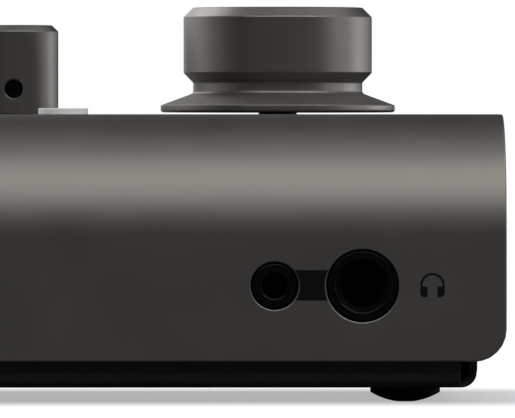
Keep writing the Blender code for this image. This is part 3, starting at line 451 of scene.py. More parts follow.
foot_places = [base_of(node) for node in at_corners("foot")]
foot_top = pan_low.z - foot_places[0][2]
dome_centre = (0, math.sqrt(FOOT_DOME ** 2 - FOOT_FLAT ** 2))
dome_angles = [math.degrees(math.asin(radius / FOOT_DOME)) - 90 for radius in (FOOT_RADIUS, FOOT_FLAT)]
dome = [(0, foot_top), (FOOT_RADIUS - FOOT_EDGE, foot_top), (FOOT_RADIUS, foot_top - FOOT_EDGE)]
dome += arc(dome_centre, FOOT_DOME, *dome_angles, steps=16)
foot = even_normals(make_object("foot", turned(dome + [(0, 0)], facets=64)))
rubber = coat(
    "foot_rubber", (0.005, 0.005, 0.005), roughness=0.8, grain=0.15 * MM, depth=0.008 * MM, gloss=0.28,
)
feet = copy_to("rubber_feet", foot_places, foot, rubber)
hand_over(feet, "base", "rubber", *at_corners("foot"))

# Standoffs and pillars
# Hexagonal brass spacers that screw into each other through the boards, one stack near each corner. They
# carry the boards over the pan and hold the shell down on top.


def dress(names, material):
    """Gives CAD nodes that stay in view their finish."""
    for name in names:
        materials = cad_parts[name].data.materials
        materials.clear()
        materials.append(material)


brass = coat("brass_bar", (0.55, 0.4, 0.17), roughness=0.34, grain=0.2 * MM, depth=0.003 * MM, metallic=1.0)
dress(at_corners("standoff") + at_corners("pillar"), brass)

# Boards
# Two glass-fibre circuit boards with green solder mask over copper tracks. The main board lies on the
# standoffs, and the control board hangs under the shell's top on the pillars.
MASK_GREEN = (0.006, 0.04, 0.02, 1)
TRACK_GREEN = (0.02, 0.11, 0.05, 1)
TRACK_PITCH = 1.6 * MM
TRACK_EDGE = (0.55, 0.65)
TRACK_FIELD = 14 * MM
FIELD_EDGE = (0.42, 0.5)
WAVES_PER_METRE = 3.2  # in a wave texture of scale 1

board_mask = bpy.data.materials.new("solder_mask")
board = start_nodes(board_mask)
track_wave = board.node("ShaderNodeTexWave", {"bands_direction": "X"}, {
    "Vector": board.node("ShaderNodeTexCoord", output="Object"),
    "Scale": 1 / TRACK_PITCH / WAVES_PER_METRE, "Distortion": 3.0, "Detail": 0.0,
})
tracks = track_wave.step(*TRACK_EDGE) * noise(board, TRACK_FIELD).step(*FIELD_EDGE)
surface(board, {
    "Base Color": tracks.mix(MASK_GREEN, TRACK_GREEN),
    "Roughness": 0.45 - tracks * 0.12,
    "Normal": board.node("ShaderNodeBump", {}, {"Height": tracks, "Distance": 0.03 * MM}),
})
dress(["main_board", "control_board"], board_mask)

# Parts on the main board
# Two chips in moulded resin, a pair of sleeved supply capacitors, and the block connector that joins the
# two boards. All are soldered down.
resin = coat("chip_resin", (0.012, 0.012, 0.013), roughness=0.6, grain=0.1 * MM, depth=0.004 * MM)
sleeve = coat("capacitor_sleeve", (0.014, 0.02, 0.06), roughness=0.3, grain=0.5 * MM, depth=0.002 * MM)
moulding = coat(
    "black_moulding", (0.0035, 0.0035, 0.0035),
    roughness=0.5, grain=0.18 * MM, depth=0.005 * MM, gloss=0.25,
)
dress(["usb_chip", "converter_chip"], resin)
dress(["supply_capacitor_left", "supply_capacitor_right"], sleeve)
dress(["board_link"], moulding)

# Jack sockets
# Moulded black housings soldered to the main board. Each has a turned bush that stands in its hole in the
# shell, with a funnelled mouth that leads the plug into the bore.
BUSH_LENGTH = 2.5 * MM
BUSH_EDGE = 0.32 * MM
MOUTH_EDGE = 0.16 * MM
BORE_WALL = 0.9 * MM
HOUSING_CORNER = 0.5 * MM
HOUSING_GAP = 0.05 * MM  # between the cup and the housing
JACK_FACETS = 96
JACK_BUSH = 5.35 * MM
JACK_MOUTH = 4.15 * MM
JACK_BORE = 3.2 * MM
JACK_FUNNEL = 1.3 * MM
JACK_DEPTH = 30 * MM
JACK_OVER = 6.7 * MM  # top of the housing over the axis
MINI_BUSH = 3.45 * MM
MINI_MOUTH = 2.1 * MM
MINI_BORE = 1.8 * MM
MINI_FUNNEL = 0.5 * MM
MINI_DEPTH = 14.5 * MM
MINI_OVER = 5 * MM  # top of the housing over the axis


def pierced(outline, holes, bottom, top):
    """A plate on an outline in X and Y with holes right through it."""
    bm = bmesh.new()
    edges = []
    for loop in [outline, *holes]:
        verts = [bm.verts.new((x, y, bottom)) for x, y in loop]
        edges += [bm.edges.new(pair) for pair in zip(verts, verts[1:] + verts[:1])]
    bmesh.ops.triangle_fill(bm, edges=edges, use_beauty=True, normal=(0, 0, 1))
    return thickened(bm, top - bottom)


def box_outline(low, high, *radii):
    """A rectangle with rounded corners, all of one radius or of four, from the lower right one round."""
    sides = ((1, -1, -90), (1, 1, 0), (-1, 1, 90), (-1, -1, 180))
    points = []
    for radius, (across, up, angle) in zip(radii * (4 // len(radii)), sides):
        x = high[0] - radius if across > 0 else low[0] + radius
        y = high[1] - radius if up > 0 else low[1] + radius
        points += arc((x, y), radius, angle, angle + 90, steps=6)
    return points


def facing(at, to_front):
    """The move that lays what runs up Z so that it runs from a place to the front, or else to the rear."""
    return Matrix.Translation(at) @ Matrix.Rotation(math.pi / 2 if to_front else -math.pi / 2, 4, "X")


def merged(*shapes):
    """Several closed shapes as one."""
    result = bmesh.new()
    for shape in shapes:
        scratch = bpy.data.meshes.new("scratch")
        shape.to_mesh(scratch)
        shape.free()
        result.from_mesh(scratch)
        bpy.data.meshes.remove(scratch)
    return result


def laid(at, to_front, *shapes):
    """Shapes that run up Z as one shape that runs from a place to the front, or else to the rear."""
    result = merged(*shapes)
    bmesh.ops.transform(result, matrix=facing(at, to_front), verts=result.verts)
    return result


def moulded(name, node, rear, over, cup, hole, corner):
    """A socket's turned cup, in a housing that fills the rest of its node's box."""
    low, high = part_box(node)
    axis_x, axis_z = (low.x + high.x) / 2, high.z - over
    up, down = high.z - axis_z, axis_z - low.z
    reach = (-down, up) if rear else (-up, down)
    outline = box_outline((low.x - axis_x, reach[0]), (high.x - axis_x, reach[1]), corner)
    housing = pierced(outline, [hole], BUSH_LENGTH, high.y - low.y)
    shape = laid((axis_x, high.y if rear else low.y, axis_z), rear, cup, housing)
    hand_over(even_normals(make_object(name, shape, socket_black)), "base", "black_plastic", node)


def socket(node, rear, over, bush, mouth, bore, funnel, depth):
    """A jack, with a bush around the mouth of its bore."""
    wall = bore + BORE_WALL
    profile = [
        (0, depth), (bore, depth), (bore, funnel), (mouth, 0, MOUTH_EDGE), (bush, 0, BUSH_EDGE),
        (bush, BUSH_LENGTH), (wall, BUSH_LENGTH), (wall, depth + BORE_WALL), (0, depth + BORE_WALL),
    ]
    cup = turned(eased(profile, radius=0.1 * MM, steps=4), JACK_FACETS)
    hole = circle((0, 0), wall + HOUSING_GAP, facets=48)
    moulded(f"{node}_moulding", node, rear, over, cup, hole, HOUSING_CORNER)


socket_black = coat(
    "socket_black", (0.003, 0.003, 0.003), roughness=0.26, grain=0.18 * MM, depth=0.003 * MM, gloss=0.125,
)
for rear, names in ((False, ("di_jack", "phones_jack_large")), (True, ("line_out_left", "line_out_right"))):
    for name in names:
        socket(name, rear, JACK_OVER, JACK_BUSH, JACK_MOUTH, JACK_BORE, JACK_FUNNEL, JACK_DEPTH)
socket("phones_jack_small", False, MINI_OVER, MINI_BUSH, MINI_MOUTH, MINI_BORE, MINI_FUNNEL, MINI_DEPTH)

# Microphone socket
# A moulded combination socket: a round face with a deep ring for the plug's shell, a keyway over it, three
# contact holes and a jack bore in the middle. Two countersunk screws hold it to the shell's rear.
COMBI_FACE = 11.8 * MM
COMBI_RING = (7.85 * MM, 9.6 * MM)
COMBI_RING_DEPTH = 11 * MM
COMBI_BORE_DEPTH = 28 * MM
COMBI_MOUTH = 3.8 * MM
COMBI_FUNNEL = 0.7 * MM
COMBI_EDGE = 0.2 * MM
COMBI_CORNER = 0.6 * MM
COMBI_FACETS = 128
COMBI_KEY = (3 * MM, 1.2 * MM)
KEY_OVERLAP = 0.5 * MM  # how far the keyway's cutter reaches into the ring
CONTACT_CIRCLE = 5.3 * MM
CONTACT_HOLE = 1.25 * MM
CONTACT_DEPTH = 10 * MM
CONTACT_RADII = (0.8 * MM, 1.15 * MM)
CONTACT_DEPTHS = (1.5 * MM, 3 * MM, 9.5 * MM)  # of its mouth, its floor and its end
CONTACT_FACETS = 32
COMBI_SCREW_HEAD = 2.5 * MM
COMBI_SCREW_SHANK = 1.25 * MM
COMBI_SCREW_LENGTH = 8 * MM


def face_of(node, rear):
    """The middle of the rear, or else the front, of a node's box."""
    low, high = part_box(node)
    return (low.x + high.x) / 2, high.y if rear else low.y, (low.z + high.z) / 2


low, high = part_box("mic_combi_socket")
combi_at = face_of("mic_combi_socket", True)
ring_in, ring_out = COMBI_RING
combi_wall = ring_out + BORE_WALL
combi_cup = [
    (0, COMBI_BORE_DEPTH), (JACK_BORE, COMBI_BORE_DEPTH), (JACK_BORE, COMBI_FUNNEL), (COMBI_MOUTH, 0),
    (ring_in, 0), (ring_in, COMBI_RING_DEPTH), (ring_out, COMBI_RING_DEPTH), (ring_out, 0), (COMBI_FACE, 0),
    (COMBI_FACE, BUSH_LENGTH), (combi_wall, BUSH_LENGTH), (combi_wall, COMBI_BORE_DEPTH + BORE_WALL),
    (0, COMBI_BORE_DEPTH + BORE_WALL),
]
cup = make_object("cup", turned(eased(combi_cup, COMBI_EDGE), COMBI_FACETS))
contact_places = [arc((0, 0), CONTACT_CIRCLE, angle, angle, 1)[0] for angle in (-30, 210, 90)]
for place in contact_places:
    cut(cup, prism(circle(place, CONTACT_HOLE, CONTACT_FACETS), -CUT_PROUD, CONTACT_DEPTH))
key_low, key_high = (-COMBI_KEY[0] / 2, ring_out - KEY_OVERLAP), (COMBI_KEY[0] / 2, ring_out + COMBI_KEY[1])
cut(cup, prism(box_outline(key_low, key_high, COMBI_EDGE), -CUT_PROUD, COMBI_RING_DEPTH))
combi_shape = bmesh.new()
combi_shape.from_mesh(cup.data)
bpy.data.objects.remove(cup)
combi_hole = circle((0, 0), combi_wall + HOUSING_GAP, JACK_FACETS)
combi_over = (high.z - low.z) / 2
moulded("mic_combi_moulding", "mic_combi_socket", True, combi_over, combi_shape, combi_hole, COMBI_CORNER)
gold = coat("contact_gold", (0.75, 0.52, 0.2), roughness=0.28, grain=0.1 * MM, depth=0.001 * MM, metallic=1.0)
contact_in, contact_out = CONTACT_RADII
contact_start, contact_floor, contact_end = CONTACT_DEPTHS
contact_profile = [
    (0, contact_floor), (contact_in, contact_floor), (contact_in, contact_start),
    (contact_out, contact_start), (contact_out, contact_end), (0, contact_end),
]
contact = make_object("contact", laid((0, 0, 0), True, turned(contact_profile, CONTACT_FACETS)))
contact_points = [(combi_at[0] + x, combi_at[1], combi_at[2] + y) for x, y in contact_places]
hand_over(copy_to("mic_contacts", contact_points, even_normals(contact), gold), "base", "brass")
black_oxide = coat(
    "black_oxide", (0.008, 0.008, 0.008), roughness=0.4, grain=0.12 * MM, depth=0.003 * MM, metallic=0.6,
)
combi_screw = countersunk_screw(COMBI_SCREW_HEAD, COMBI_SCREW_SHANK, COMBI_SCREW_LENGTH)
combi_screw.data.transform(facing((0, 0, 0), True))
combi_screw_nodes = ("combi_screw_lower", "combi_screw_upper")
combi_screw_places = [face_of(node, True) for node in combi_screw_nodes]
combi_screws = copy_to("combi_screws", combi_screw_places, combi_screw, black_oxide)
hand_over(combi_screws, "base", "black_metal", *combi_screw_nodes)

# USB socket
# A drawn steel tube soldered to the main board, open to the rear, with a contact tongue standing in its
# mouth. A row of gold pads lies on each side of the tongue.
USB_WALL = 0.35 * MM
USB_CAVITY = 6.5 * MM
USB_EDGE = 0.08 * MM
USB_ROUND = 0.92  # how much of its half height its rounded ends take
TONGUE = (6.7 * MM, 0.7 * MM, 5 * MM)
TONGUE_CORNER = 0.15 * MM
PAD = (0.26 * MM, 0.03 * MM, 3.2 * MM)
PAD_CORNER = 0.01 * MM
PAD_COUNT = 12
PAD_PITCH = 0.5 * MM
PAD_BACK = 0.3 * MM  # from the tongue's tip

low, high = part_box("usb_socket")
usb_at = face_of("usb_socket", True)
usb_half = ((high.x - low.x) / 2, (high.z - low.z) / 2)


def usb_outline(inset):
    """The tube's rounded outline, drawn in by a distance."""
    half_x, half_z = usb_half[0] - inset, usb_half[1] - inset
    return box_outline((-half_x, -half_z), (half_x, half_z), half_z * USB_ROUND)


usb_tube = pierced(usb_outline(0), [usb_outline(USB_WALL)], 0, USB_CAVITY)
usb_back = prism(usb_outline(USB_WALL / 4), USB_CAVITY, high.y - low.y)
drawn_steel = coat(
    "drawn_steel", (0.42, 0.42, 0.41), roughness=0.3, grain=0.3 * MM, depth=0.001 * MM, metallic=1.0,
)
usb = make_object("usb_tube", laid(usb_at, True, usb_tube, usb_back), drawn_steel)
hand_over(even_normals(round_over(usb, USB_EDGE)), "base", "bright_metal", "usb_socket")
half_tongue = (TONGUE[0] / 2, TONGUE[1] / 2)
tongue_outline = box_outline((-half_tongue[0], -half_tongue[1]), half_tongue, TONGUE_CORNER)
tongue = prism(tongue_outline, USB_CAVITY - TONGUE[2], USB_CAVITY)
usb_tongue = even_normals(make_object("usb_tongue", laid(usb_at, True, tongue), moulding))
hand_over(usb_tongue, "base", "black_plastic")
row_tree, row = geometry_tree("row_of_copies", {
    "Count": "Int", "First": "Vector", "Step": "Vector", "Piece": "Object",
})
close_with_copies(row, row.node("GeometryNodeMeshLine", {}, {
    "Count": row.output("Count"), "Start Location": row.output("First"), "Offset": row.output("Step"),
}))


def row_of(name, count, first, step, piece, finish):
    """One object that holds a straight row of copies of a piece. The piece itself is used up."""
    obj = grow(add_object(name, bpy.data.meshes.new(name)), row_tree, {
        "Count": count, "First": first, "Step": step, "Piece": piece, "Finish": finish,
    })
    bpy.data.objects.remove(piece)
    return obj


pad_outline = box_outline((-PAD[0] / 2, 0), (PAD[0] / 2, PAD[1]), PAD_CORNER)
pad_start = (-PAD_PITCH * (PAD_COUNT - 1) / 2, TONGUE[2] - USB_CAVITY - PAD_BACK)
for side, sign in (("upper", 1), ("lower", -1)):
    pad = make_object("pad", laid((0, 0, 0), True, prism(pad_outline, 0, PAD[2])))
    if sign < 0:
        pad.data.transform(Matrix.Rotation(math.pi, 4, "Y"))
    pad_first = Vector(usb_at) + Vector((*pad_start, sign * half_tongue[1]))
    pads = row_of(f"usb_pads_{side}", PAD_COUNT, pad_first, (PAD_PITCH, 0, 0), pad, gold)
    hand_over(pads, "base", "brass")

# Encoder, potentiometers and switches
# Moulded black bodies soldered to the control board, one under each knob and each button. They are out of
# sight below the shell.
GAINS = ("mic_gain", "di_gain")
KNOBS = ("volume", *GAINS)
BUTTONS = ("function", "monitor", "phones", "phantom")

dress(["volume_encoder", *[f"{name}_pot" for name in GAINS]], moulding)
dress([f"{name}_switch" for name in BUTTONS], moulding)

# Shell
# One aluminium sheet, punched flat and bent into the front, the top and the rear, with a wide bend in front.
# It is blasted and anodised a warm dark grey, and every punched edge is eased.
SHELL_EDGE = 0.32 * MM
INNER_EDGE = 0.15 * MM
FLANGE_CORNER = 5 * MM
CONTROL_HOLE = 3.8 * MM
BUTTON_FLANGE = 0.8 * MM
BUTTON_GAP = 0.2 * MM
BUTTON_HOLE_EDGE = 0.2 * MM
LIGHT_COUNT = 8
LIGHT_HOLE = 1.1 * MM
LIGHT_HOLE_EDGE = 0.15 * MM
LIGHT_FACETS = 32
JACK_HOLE = 5.55 * MM
MINI_HOLE = 3.65 * MM
JACK_HOLE_EDGE = 0.22 * MM
COMBI_HOLE = 12 * MM
USB_GAP = 0.3 * MM
FRONT_BEND_CUTS = 56
REAR_BEND_CUTS = 24
SHELL_GREY = (0.181, 0.172, 0.161)

shell_height = shell_high.z - shell_low.z
front_run = shell_height - FRONT_BEND
front_arc = FRONT_BEND * math.pi / 2
top_run = shell_high.y - shell_low.y - FRONT_BEND - REAR_BEND
rear_arc = REAR_BEND * math.pi / 2
top_start = front_run + front_arc
rear_bend_start = top_start + top_run
rear_start = rear_bend_start + rear_arc
blank_length = rear_start + shell_height - REAR_BEND
jack_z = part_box("di_jack")[1].z - JACK_OVER


def axis_of(node):
    """The middle of a node's box, seen from above."""
    return Vector(base_of(node)[:2])


def top_place(point):
    """Where a point of the top lies on the flat blank."""
    return point[0], top_start + point[1] - (shell_low.y + FRONT_BEND)


def rear_place(x, z):
    """Where a point of the rear lies on the flat blank."""
    return x, rear_start + shell_high.z - REAR_BEND - z


def blank_outline(opened):
    """The blank's own edge, drawn in as a hole's edge is opened."""
    corner = (shell_high.x - opened, blank_length - opened)
    return box_outline((shell_low.x + opened, opened), corner, FLANGE_CORNER - opened)


def usb_hole(opened):
    """The hole for the USB socket, opened by a distance."""
    x, u = rear_place(usb_at[0], usb_at[2])
    half_x, half_u = usb_half[0] + USB_GAP + opened, usb_half[1] + USB_GAP + opened
    return box_outline((x - half_x, u - half_u), (x + half_x, u + half_u), half_u * USB_ROUND)


loops = [(blank_outline, SHELL_EDGE)]


def punch(centre, radius, facets=72, ease=SHELL_EDGE):
    """Adds a round hole: its outline by how far it is opened, and how far its edge is eased."""
    loops.append((lambda opened: circle(centre, radius + opened, facets), ease))


for name in KNOBS:
    punch(top_place(axis_of(f"{name}_knob")), CONTROL_HOLE)
button_radius = {}
for name in BUTTONS:
    low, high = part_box(f"{name}_button")
    button_radius[name] = (high.x - low.x) / 2 - BUTTON_FLANGE
    centre = top_place(axis_of(f"{name}_button"))
    punch(centre, button_radius[name] + BUTTON_GAP, ease=BUTTON_HOLE_EDGE)
pipe_low, pipe_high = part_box("meter_light_pipe")
light_y = (pipe_low.y + pipe_high.y) / 2
light_inset = (pipe_high.y - pipe_low.y) / 2
first_light, last_light = pipe_low.x + light_inset, pipe_high.x - light_inset
light_step = (last_light - first_light) / (LIGHT_COUNT - 1)
for i in range(LIGHT_COUNT):
    centre = top_place((first_light + i * light_step, light_y))
    punch(centre, LIGHT_HOLE, LIGHT_FACETS, LIGHT_HOLE_EDGE)
front_holes = {"di_jack": JACK_HOLE, "phones_jack_small": MINI_HOLE, "phones_jack_large": JACK_HOLE}
for name, radius in front_holes.items():
    punch((axis_of(name).x, jack_z - shell_low.z), radius, JACK_FACETS, JACK_HOLE_EDGE)
for name in ("line_out_left", "line_out_right"):
    punch(rear_place(axis_of(name).x, jack_z), JACK_HOLE, JACK_FACETS, JACK_HOLE_EDGE)
punch(rear_place(combi_at[0], combi_at[2]), COMBI_HOLE, COMBI_FACETS)
combi_sink = COMBI_SCREW_HEAD - COMBI_SCREW_SHANK
for x, _, z in combi_screw_places:
    punch(rear_place(x, z), COMBI_SCREW_SHANK + SCREW_CLEARANCE, SINK_FACETS, combi_sink)
loops.append((usb_hole, SHELL_EDGE))


def eased_levels(ease):
    """How far a punched edge is opened at each depth of the sheet, from its outer face to its inner one."""
    if ease > 2 * SHELL_EDGE:
        upper = [(ease, 0), (0, -ease)]
    else:
        quarter = arc((0, 0), 1, 0, 90, steps=4)
        upper = [(ease * (1 - across), -ease * (1 - down)) for down, across in quarter]
    return upper + [(0, INNER_EDGE - SHELL_SHEET), (INNER_EDGE, -SHELL_SHEET)]


blank = bmesh.new()
cap_edges = ([], [])
for outline, ease in loops:
    levels = eased_levels(ease)
    rings = [[blank.verts.new((x, u, lift)) for x, u in outline(opened)] for opened, lift in levels]
    for upper, lower in zip(rings, rings[1:]):
        for i in range(len(upper)):
            j = (i + 1) % len(upper)
            blank.faces.new((upper[i], upper[j], lower[j], lower[i]))
    for edges, ring in zip(cap_edges, (rings[0], rings[-1])):
        edges += [blank.edges.get(pair) for pair in zip(ring, ring[1:] + ring[:1])]
for edges in cap_edges:
    bmesh.ops.triangle_fill(blank, edges=edges, use_beauty=True, normal=(0, 0, 1))
cuts = [front_run + front_arc * i / FRONT_BEND_CUTS for i in range(FRONT_BEND_CUTS + 1)]
cuts += [rear_bend_start + rear_arc * i / REAR_BEND_CUTS for i in range(REAR_BEND_CUTS + 1)]
for u in cuts:
    everything = blank.verts[:] + blank.edges[:] + blank.faces[:]
    bmesh.ops.bisect_plane(blank, geom=everything, plane_co=(0, u, 0), plane_no=(0, 1, 0), dist=0.00001 * MM)

bend_tree, bend = geometry_tree("bend_sheet", {
    "Front run": "Float", "Front radius": "Float", "Top run": "Float", "Rear radius": "Float",
    "Corner": "Vector",
})
flat = bend.node("ShaderNodeSeparateXYZ", {}, {0: bend.node("GeometryNodeInputPosition")})
along, lift = flat.output("Y"), flat.output("Z")
front_radius, rear_radius = bend.output("Front radius"), bend.output("Rear radius")
past_front = along - bend.output("Front run")
front_angle = (past_front / front_radius).between(0, math.pi / 2)
past_bend = past_front - front_radius * (math.pi / 2)
past_top = past_bend - bend.output("Top run")
rear_angle = (past_top / rear_radius).between(0, math.pi / 2)
past_rear = bend.math("MAXIMUM", past_top - rear_radius * (math.pi / 2), 0)
tilt = front_angle + rear_angle
corner = bend.node("ShaderNodeSeparateXYZ", {}, {0: bend.output("Corner")})
bent_y = corner.output("Y") + front_radius * (1 - bend.math("COSINE", front_angle))
bent_y = bent_y + past_bend.between(0, bend.output("Top run"))
bent_y = bent_y + rear_radius * bend.math("SINE", rear_angle) - lift * bend.math("COSINE", tilt)
bent_z = corner.output("Z") + bend.math("MINIMUM", along, bend.output("Front run"))
bent_z = bent_z + front_radius * bend.math("SINE", front_angle) - past_rear
bent_z = bent_z - rear_radius * (1 - bend.math("COSINE", rear_angle)) + lift * bend.math("SINE", tilt)
bent = bend.node("ShaderNodeCombineXYZ", {}, {"X": flat.output("X"), "Y": bent_y, "Z": bent_z})
close_tree(bend, bend.node("GeometryNodeSetPosition", {}, {
    "Geometry": bend.output("Geometry"), "Position": bent,
}))

anodised = coat(
    "anodised_grey", SHELL_GREY,
    roughness=0.455, grain=0.14 * MM, depth=0.004 * MM, metallic=1.0, spread=0.02,
)
shell = grow(make_object("bent_shell", blank), bend_tree, {
    "Front run": front_run, "Front radius": FRONT_BEND, "Top run": top_run, "Rear radius": REAR_BEND,
    "Corner": (0, shell_low.y, shell_low.z), "Finish": anodised,
})
hand_over(even_normals(shell), "base", "shell_paint", "shell")

# Bosses
# Four threaded steel bosses welded under the shell's top. The pillars' studs screw into them and pull the
# shell down.
BOSS_RADIUS = 2.75 * MM
BOSS_BORE = 1.65 * MM
BOSS_ROOF = 0.5 * MM

boss_places = [base_of(node) for node in at_corners("boss")]
boss_length = shell_high.z - SHELL_SHEET - boss_places[0][2]
boss_profile = [
    (0, boss_length), (BOSS_RADIUS, boss_length), (BOSS_RADIUS, 0), (BOSS_BORE, 0),
    (BOSS_BORE, boss_length - BOSS_ROOF), (0, boss_length - BOSS_ROOF),
]
boss = even_normals(make_object("boss", turned(boss_profile, facets=40)))
shell_bosses = copy_to("shell_bosses", boss_places, boss, zinc)
hand_over(shell_bosses, "base", "bright_metal", *at_corners("boss"))

# Printed marks
# Matt black ink on the shell: a bar that ties the two headphone sockets together, a headphone sign beside
# them, and a ring of ticks around each gain knob.
INK = 0.02 * MM
BAR_HEIGHT = 4.64 * MM
BAR_RISE = 0.08 * MM
SIGN_FROM_RIGHT = 11.35 * MM
SIGN_RISE = 0.11 * MM
SIGN_BAND = (1.69 * MM, 0.37 * MM)
SIGN_LEG = 0.21 * MM
SIGN_CUP = (1.12 * MM, 1.64 * MM)
CUP_CORNER = 0.16 * MM
CUP_ROUND = 0.7 * MM
TICK_COUNT = 11
TICK_SWEEP = math.radians(300)
TICK = (0.3 * MM, 1.3 * MM)
TICK_RADIUS = 9.6 * MM

ink = coat("black_ink", (0.004, 0.004, 0.004), roughness=0.6, grain=0.1 * MM, depth=0.002 * MM, gloss=0.11)


def print_front(name, *outlines):
    """Ink on the front face, from outlines in X and Z."""
    shape = laid((0, shell_low.y, 0), True, *[prism(outline, 0, INK) for outline in outlines])
    hand_over(make_object(name, shape, ink), "base", "black_plastic")


bar_heights = (BAR_RISE - BAR_HEIGHT / 2, BAR_RISE + BAR_HEIGHT / 2)
ends = []
for name, side in (("phones_jack_small", 1), ("phones_jack_large", -1)):
    reach = front_holes[name] + JACK_HOLE_EDGE
    angles = [math.degrees(math.asin(height / reach)) for height in bar_heights]
    points = arc((0, 0), reach, *angles, steps=16)
    ends.append([(axis_of(name).x + side * x, jack_z + z) for x, z in points])
print_front("printed_bar", ends[1] + ends[0][::-1])

sign_x, sign_z = shell_high.x - SIGN_FROM_RIGHT, jack_z + SIGN_RISE
band_radius, band_width = SIGN_BAND
band_outer, band_inner = band_radius + band_width / 2, band_radius - band_width / 2
cup_width, cup_height = SIGN_CUP
cup_top = sign_z - SIGN_LEG


def band_edge(radius, start, end):
    """One edge of the headband, from the top of one cup to the top of the other."""
    points = arc((sign_x, sign_z), radius, start, end, steps=32)
    return [(points[0][0], cup_top), *points, (points[-1][0], cup_top)]


band = band_edge(band_outer, 0, 180) + band_edge(band_inner, 180, 0)
left_cup = box_outline(
    (sign_x - band_outer, cup_top - cup_height), (sign_x - band_outer + cup_width, cup_top),
    CUP_CORNER, CUP_CORNER, CUP_CORNER, CUP_ROUND,
)
right_cup = [(2 * sign_x - x, z) for x, z in left_cup[::-1]]
print_front("headphone_sign", band, left_cup, right_cup)

tick_tree, ticks = geometry_tree("tick_ring", {
    "Count": "Int", "Radius": "Float", "Sweep": "Float", "Tick": "Vector", "Centre": "Vector",
})
tick_points = ticks.node("GeometryNodePoints", {}, {"Count": ticks.output("Count")})
tick_share = ticks.node("GeometryNodeInputIndex") / (ticks.output("Count") - 1)
tick_angle = (tick_share - 0.5) * ticks.output("Sweep")
tick_place = ticks.node("ShaderNodeCombineXYZ", {}, {
    "X": ticks.output("Radius") * ticks.math("SINE", tick_angle),
    "Y": ticks.output("Radius") * ticks.math("COSINE", tick_angle),
})
tick_centre = ticks.node("ShaderNodeVectorMath", {"operation": "ADD"}, {
    0: tick_place, 1: ticks.output("Centre"),
})
tick_row = ticks.node("GeometryNodeSetPosition", {}, {"Geometry": tick_points, "Position": tick_centre})
tick_turn = ticks.node("ShaderNodeCombineXYZ", {}, {"Z": tick_angle * -1})
tick_box = ticks.node("GeometryNodeMeshCube", {}, {"Size": ticks.output("Tick")})
close_tree(ticks, ticks.node("GeometryNodeInstanceOnPoints", {}, {
    "Points": tick_row, "Instance": tick_box, "Rotation": tick_turn,
}))
for name in GAINS:
    empty = bpy.data.meshes.new(f"{name}_ticks")
    tick_ring = grow(add_object(f"{name}_ticks", empty), tick_tree, {
        "Count": TICK_COUNT, "Radius": TICK_RADIUS, "Sweep": TICK_SWEEP, "Tick": (*TICK, INK),
        "Centre": (*axis_of(f"{name}_knob"), shell_high.z + INK / 2), "Finish": ink,
    })
    hand_over(tick_ring, "base", "black_plastic")

# Level meter
# A bar of milky plastic under the shell's top, with a row of small domed light ends that stand in the
# shell's holes.
LIGHT_RADIUS = 0.9 * MM
LIGHT_DOME = 0.25 * MM
LIGHT_ROOT = 0.2 * MM
PIPE_BAR = 1 * MM
PIPE_ROUND = 0.98  # how much of its half width its rounded ends take

milky = coat("milky_plastic", (0.62, 0.64, 0.63), roughness=0.3, grain=0.4 * MM, depth=0.002 * MM)
bar_top = pipe_low.z + PIPE_BAR
light_foot, light_edge = bar_top - LIGHT_ROOT, pipe_high.z - LIGHT_DOME
light_curve = arc((0, 0), 1, start=0, end=75, steps=5)
light_profile = [(0, light_foot), (LIGHT_RADIUS, light_foot)]
light_profile += [(LIGHT_RADIUS * x, light_edge + LIGHT_DOME * z) for x, z in light_curve]
light = even_normals(make_object("light", turned(light_profile + [(0, pipe_high.z)], LIGHT_FACETS)))
lights = row_of("meter_lights", LIGHT_COUNT, (first_light, light_y, 0), (light_step, 0, 0), light, milky)
hand_over(lights, "base", "milky_plastic")
bar_outline = box_outline((pipe_low.x, pipe_low.y), (pipe_high.x, pipe_high.y), light_inset * PIPE_ROUND)
bar = even_normals(make_object("meter_bar", prism(bar_outline, pipe_low.z, bar_top), milky))
hand_over(bar, "base", "milky_plastic", "meter_light_pipe")

# Push buttons
# Pale caps of moulded plastic, each in one with the flange and stem that work its switch below. A matt grey
# disc is let into the top of each cap. Its darker grey is painted shade on the top, which takes the most
# light.
BUTTON_STEM = 1.6 * MM
BUTTON_FACETS = 72
FLANGE_DROP = 0.7 * MM
CAP_EDGE = 0.14 * MM
CAP_RIM = 0.6 * MM
DISC_DEPTH = 0.3 * MM
DISC_DROP = 0.06 * MM  # its face below the rim
DISC_GAP = 0.05 * MM

button_pale = coat(
    "button_pale", (0.82, 0.82, 0.81), roughness=0.5, grain=0.1 * MM, depth=0.002 * MM, spread=0.03,
)
# Painted shade: the disc is darker than the cap so that the brightly lit top of each button does not go
# white.
shaded_disc_grey = coat(
    "disc_painted_shade", (0.48, 0.48, 0.475),
    roughness=0.7, grain=0.12 * MM, depth=0.004 * MM, gloss=0.3, spread=0.05,
)
flange_top = shell_high.z - SHELL_SHEET - FLANGE_DROP
flange_bottom = flange_top - BUTTON_FLANGE
for name in BUTTONS:
    low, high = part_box(f"{name}_button")
    axis = axis_of(f"{name}_button")
    radius, seat = button_radius[name], high.z - DISC_DEPTH
    flange, hollow = radius + BUTTON_FLANGE, radius - CAP_RIM
    profile = [
        (0, low.z), (BUTTON_STEM, low.z), (BUTTON_STEM, flange_bottom), (flange, flange_bottom),
        (flange, flange_top), (radius, flange_top), (radius, high.z), (hollow, high.z), (hollow, seat),
        (0, seat),
    ]
    shape = turned(eased(profile, CAP_EDGE), BUTTON_FACETS, (*axis, 0))
    cap = make_object(f"{name}_button_cap", shape, button_pale)
    hand_over(even_normals(cap), f"{name}_button", "pale_plastic", f"{name}_button")
    disc_radius, disc_top = hollow - DISC_GAP, high.z - DISC_DROP
    disc = [(0, seat), (disc_radius, seat), (disc_radius, disc_top), (0, disc_top)]
    disc_shape = turned(eased(disc, CAP_EDGE / 2), BUTTON_FACETS, (*axis, 0))
    hand_over(make_object(f"{name}_button_disc", disc_shape, shaded_disc_grey), f"{name}_button", "rubber")
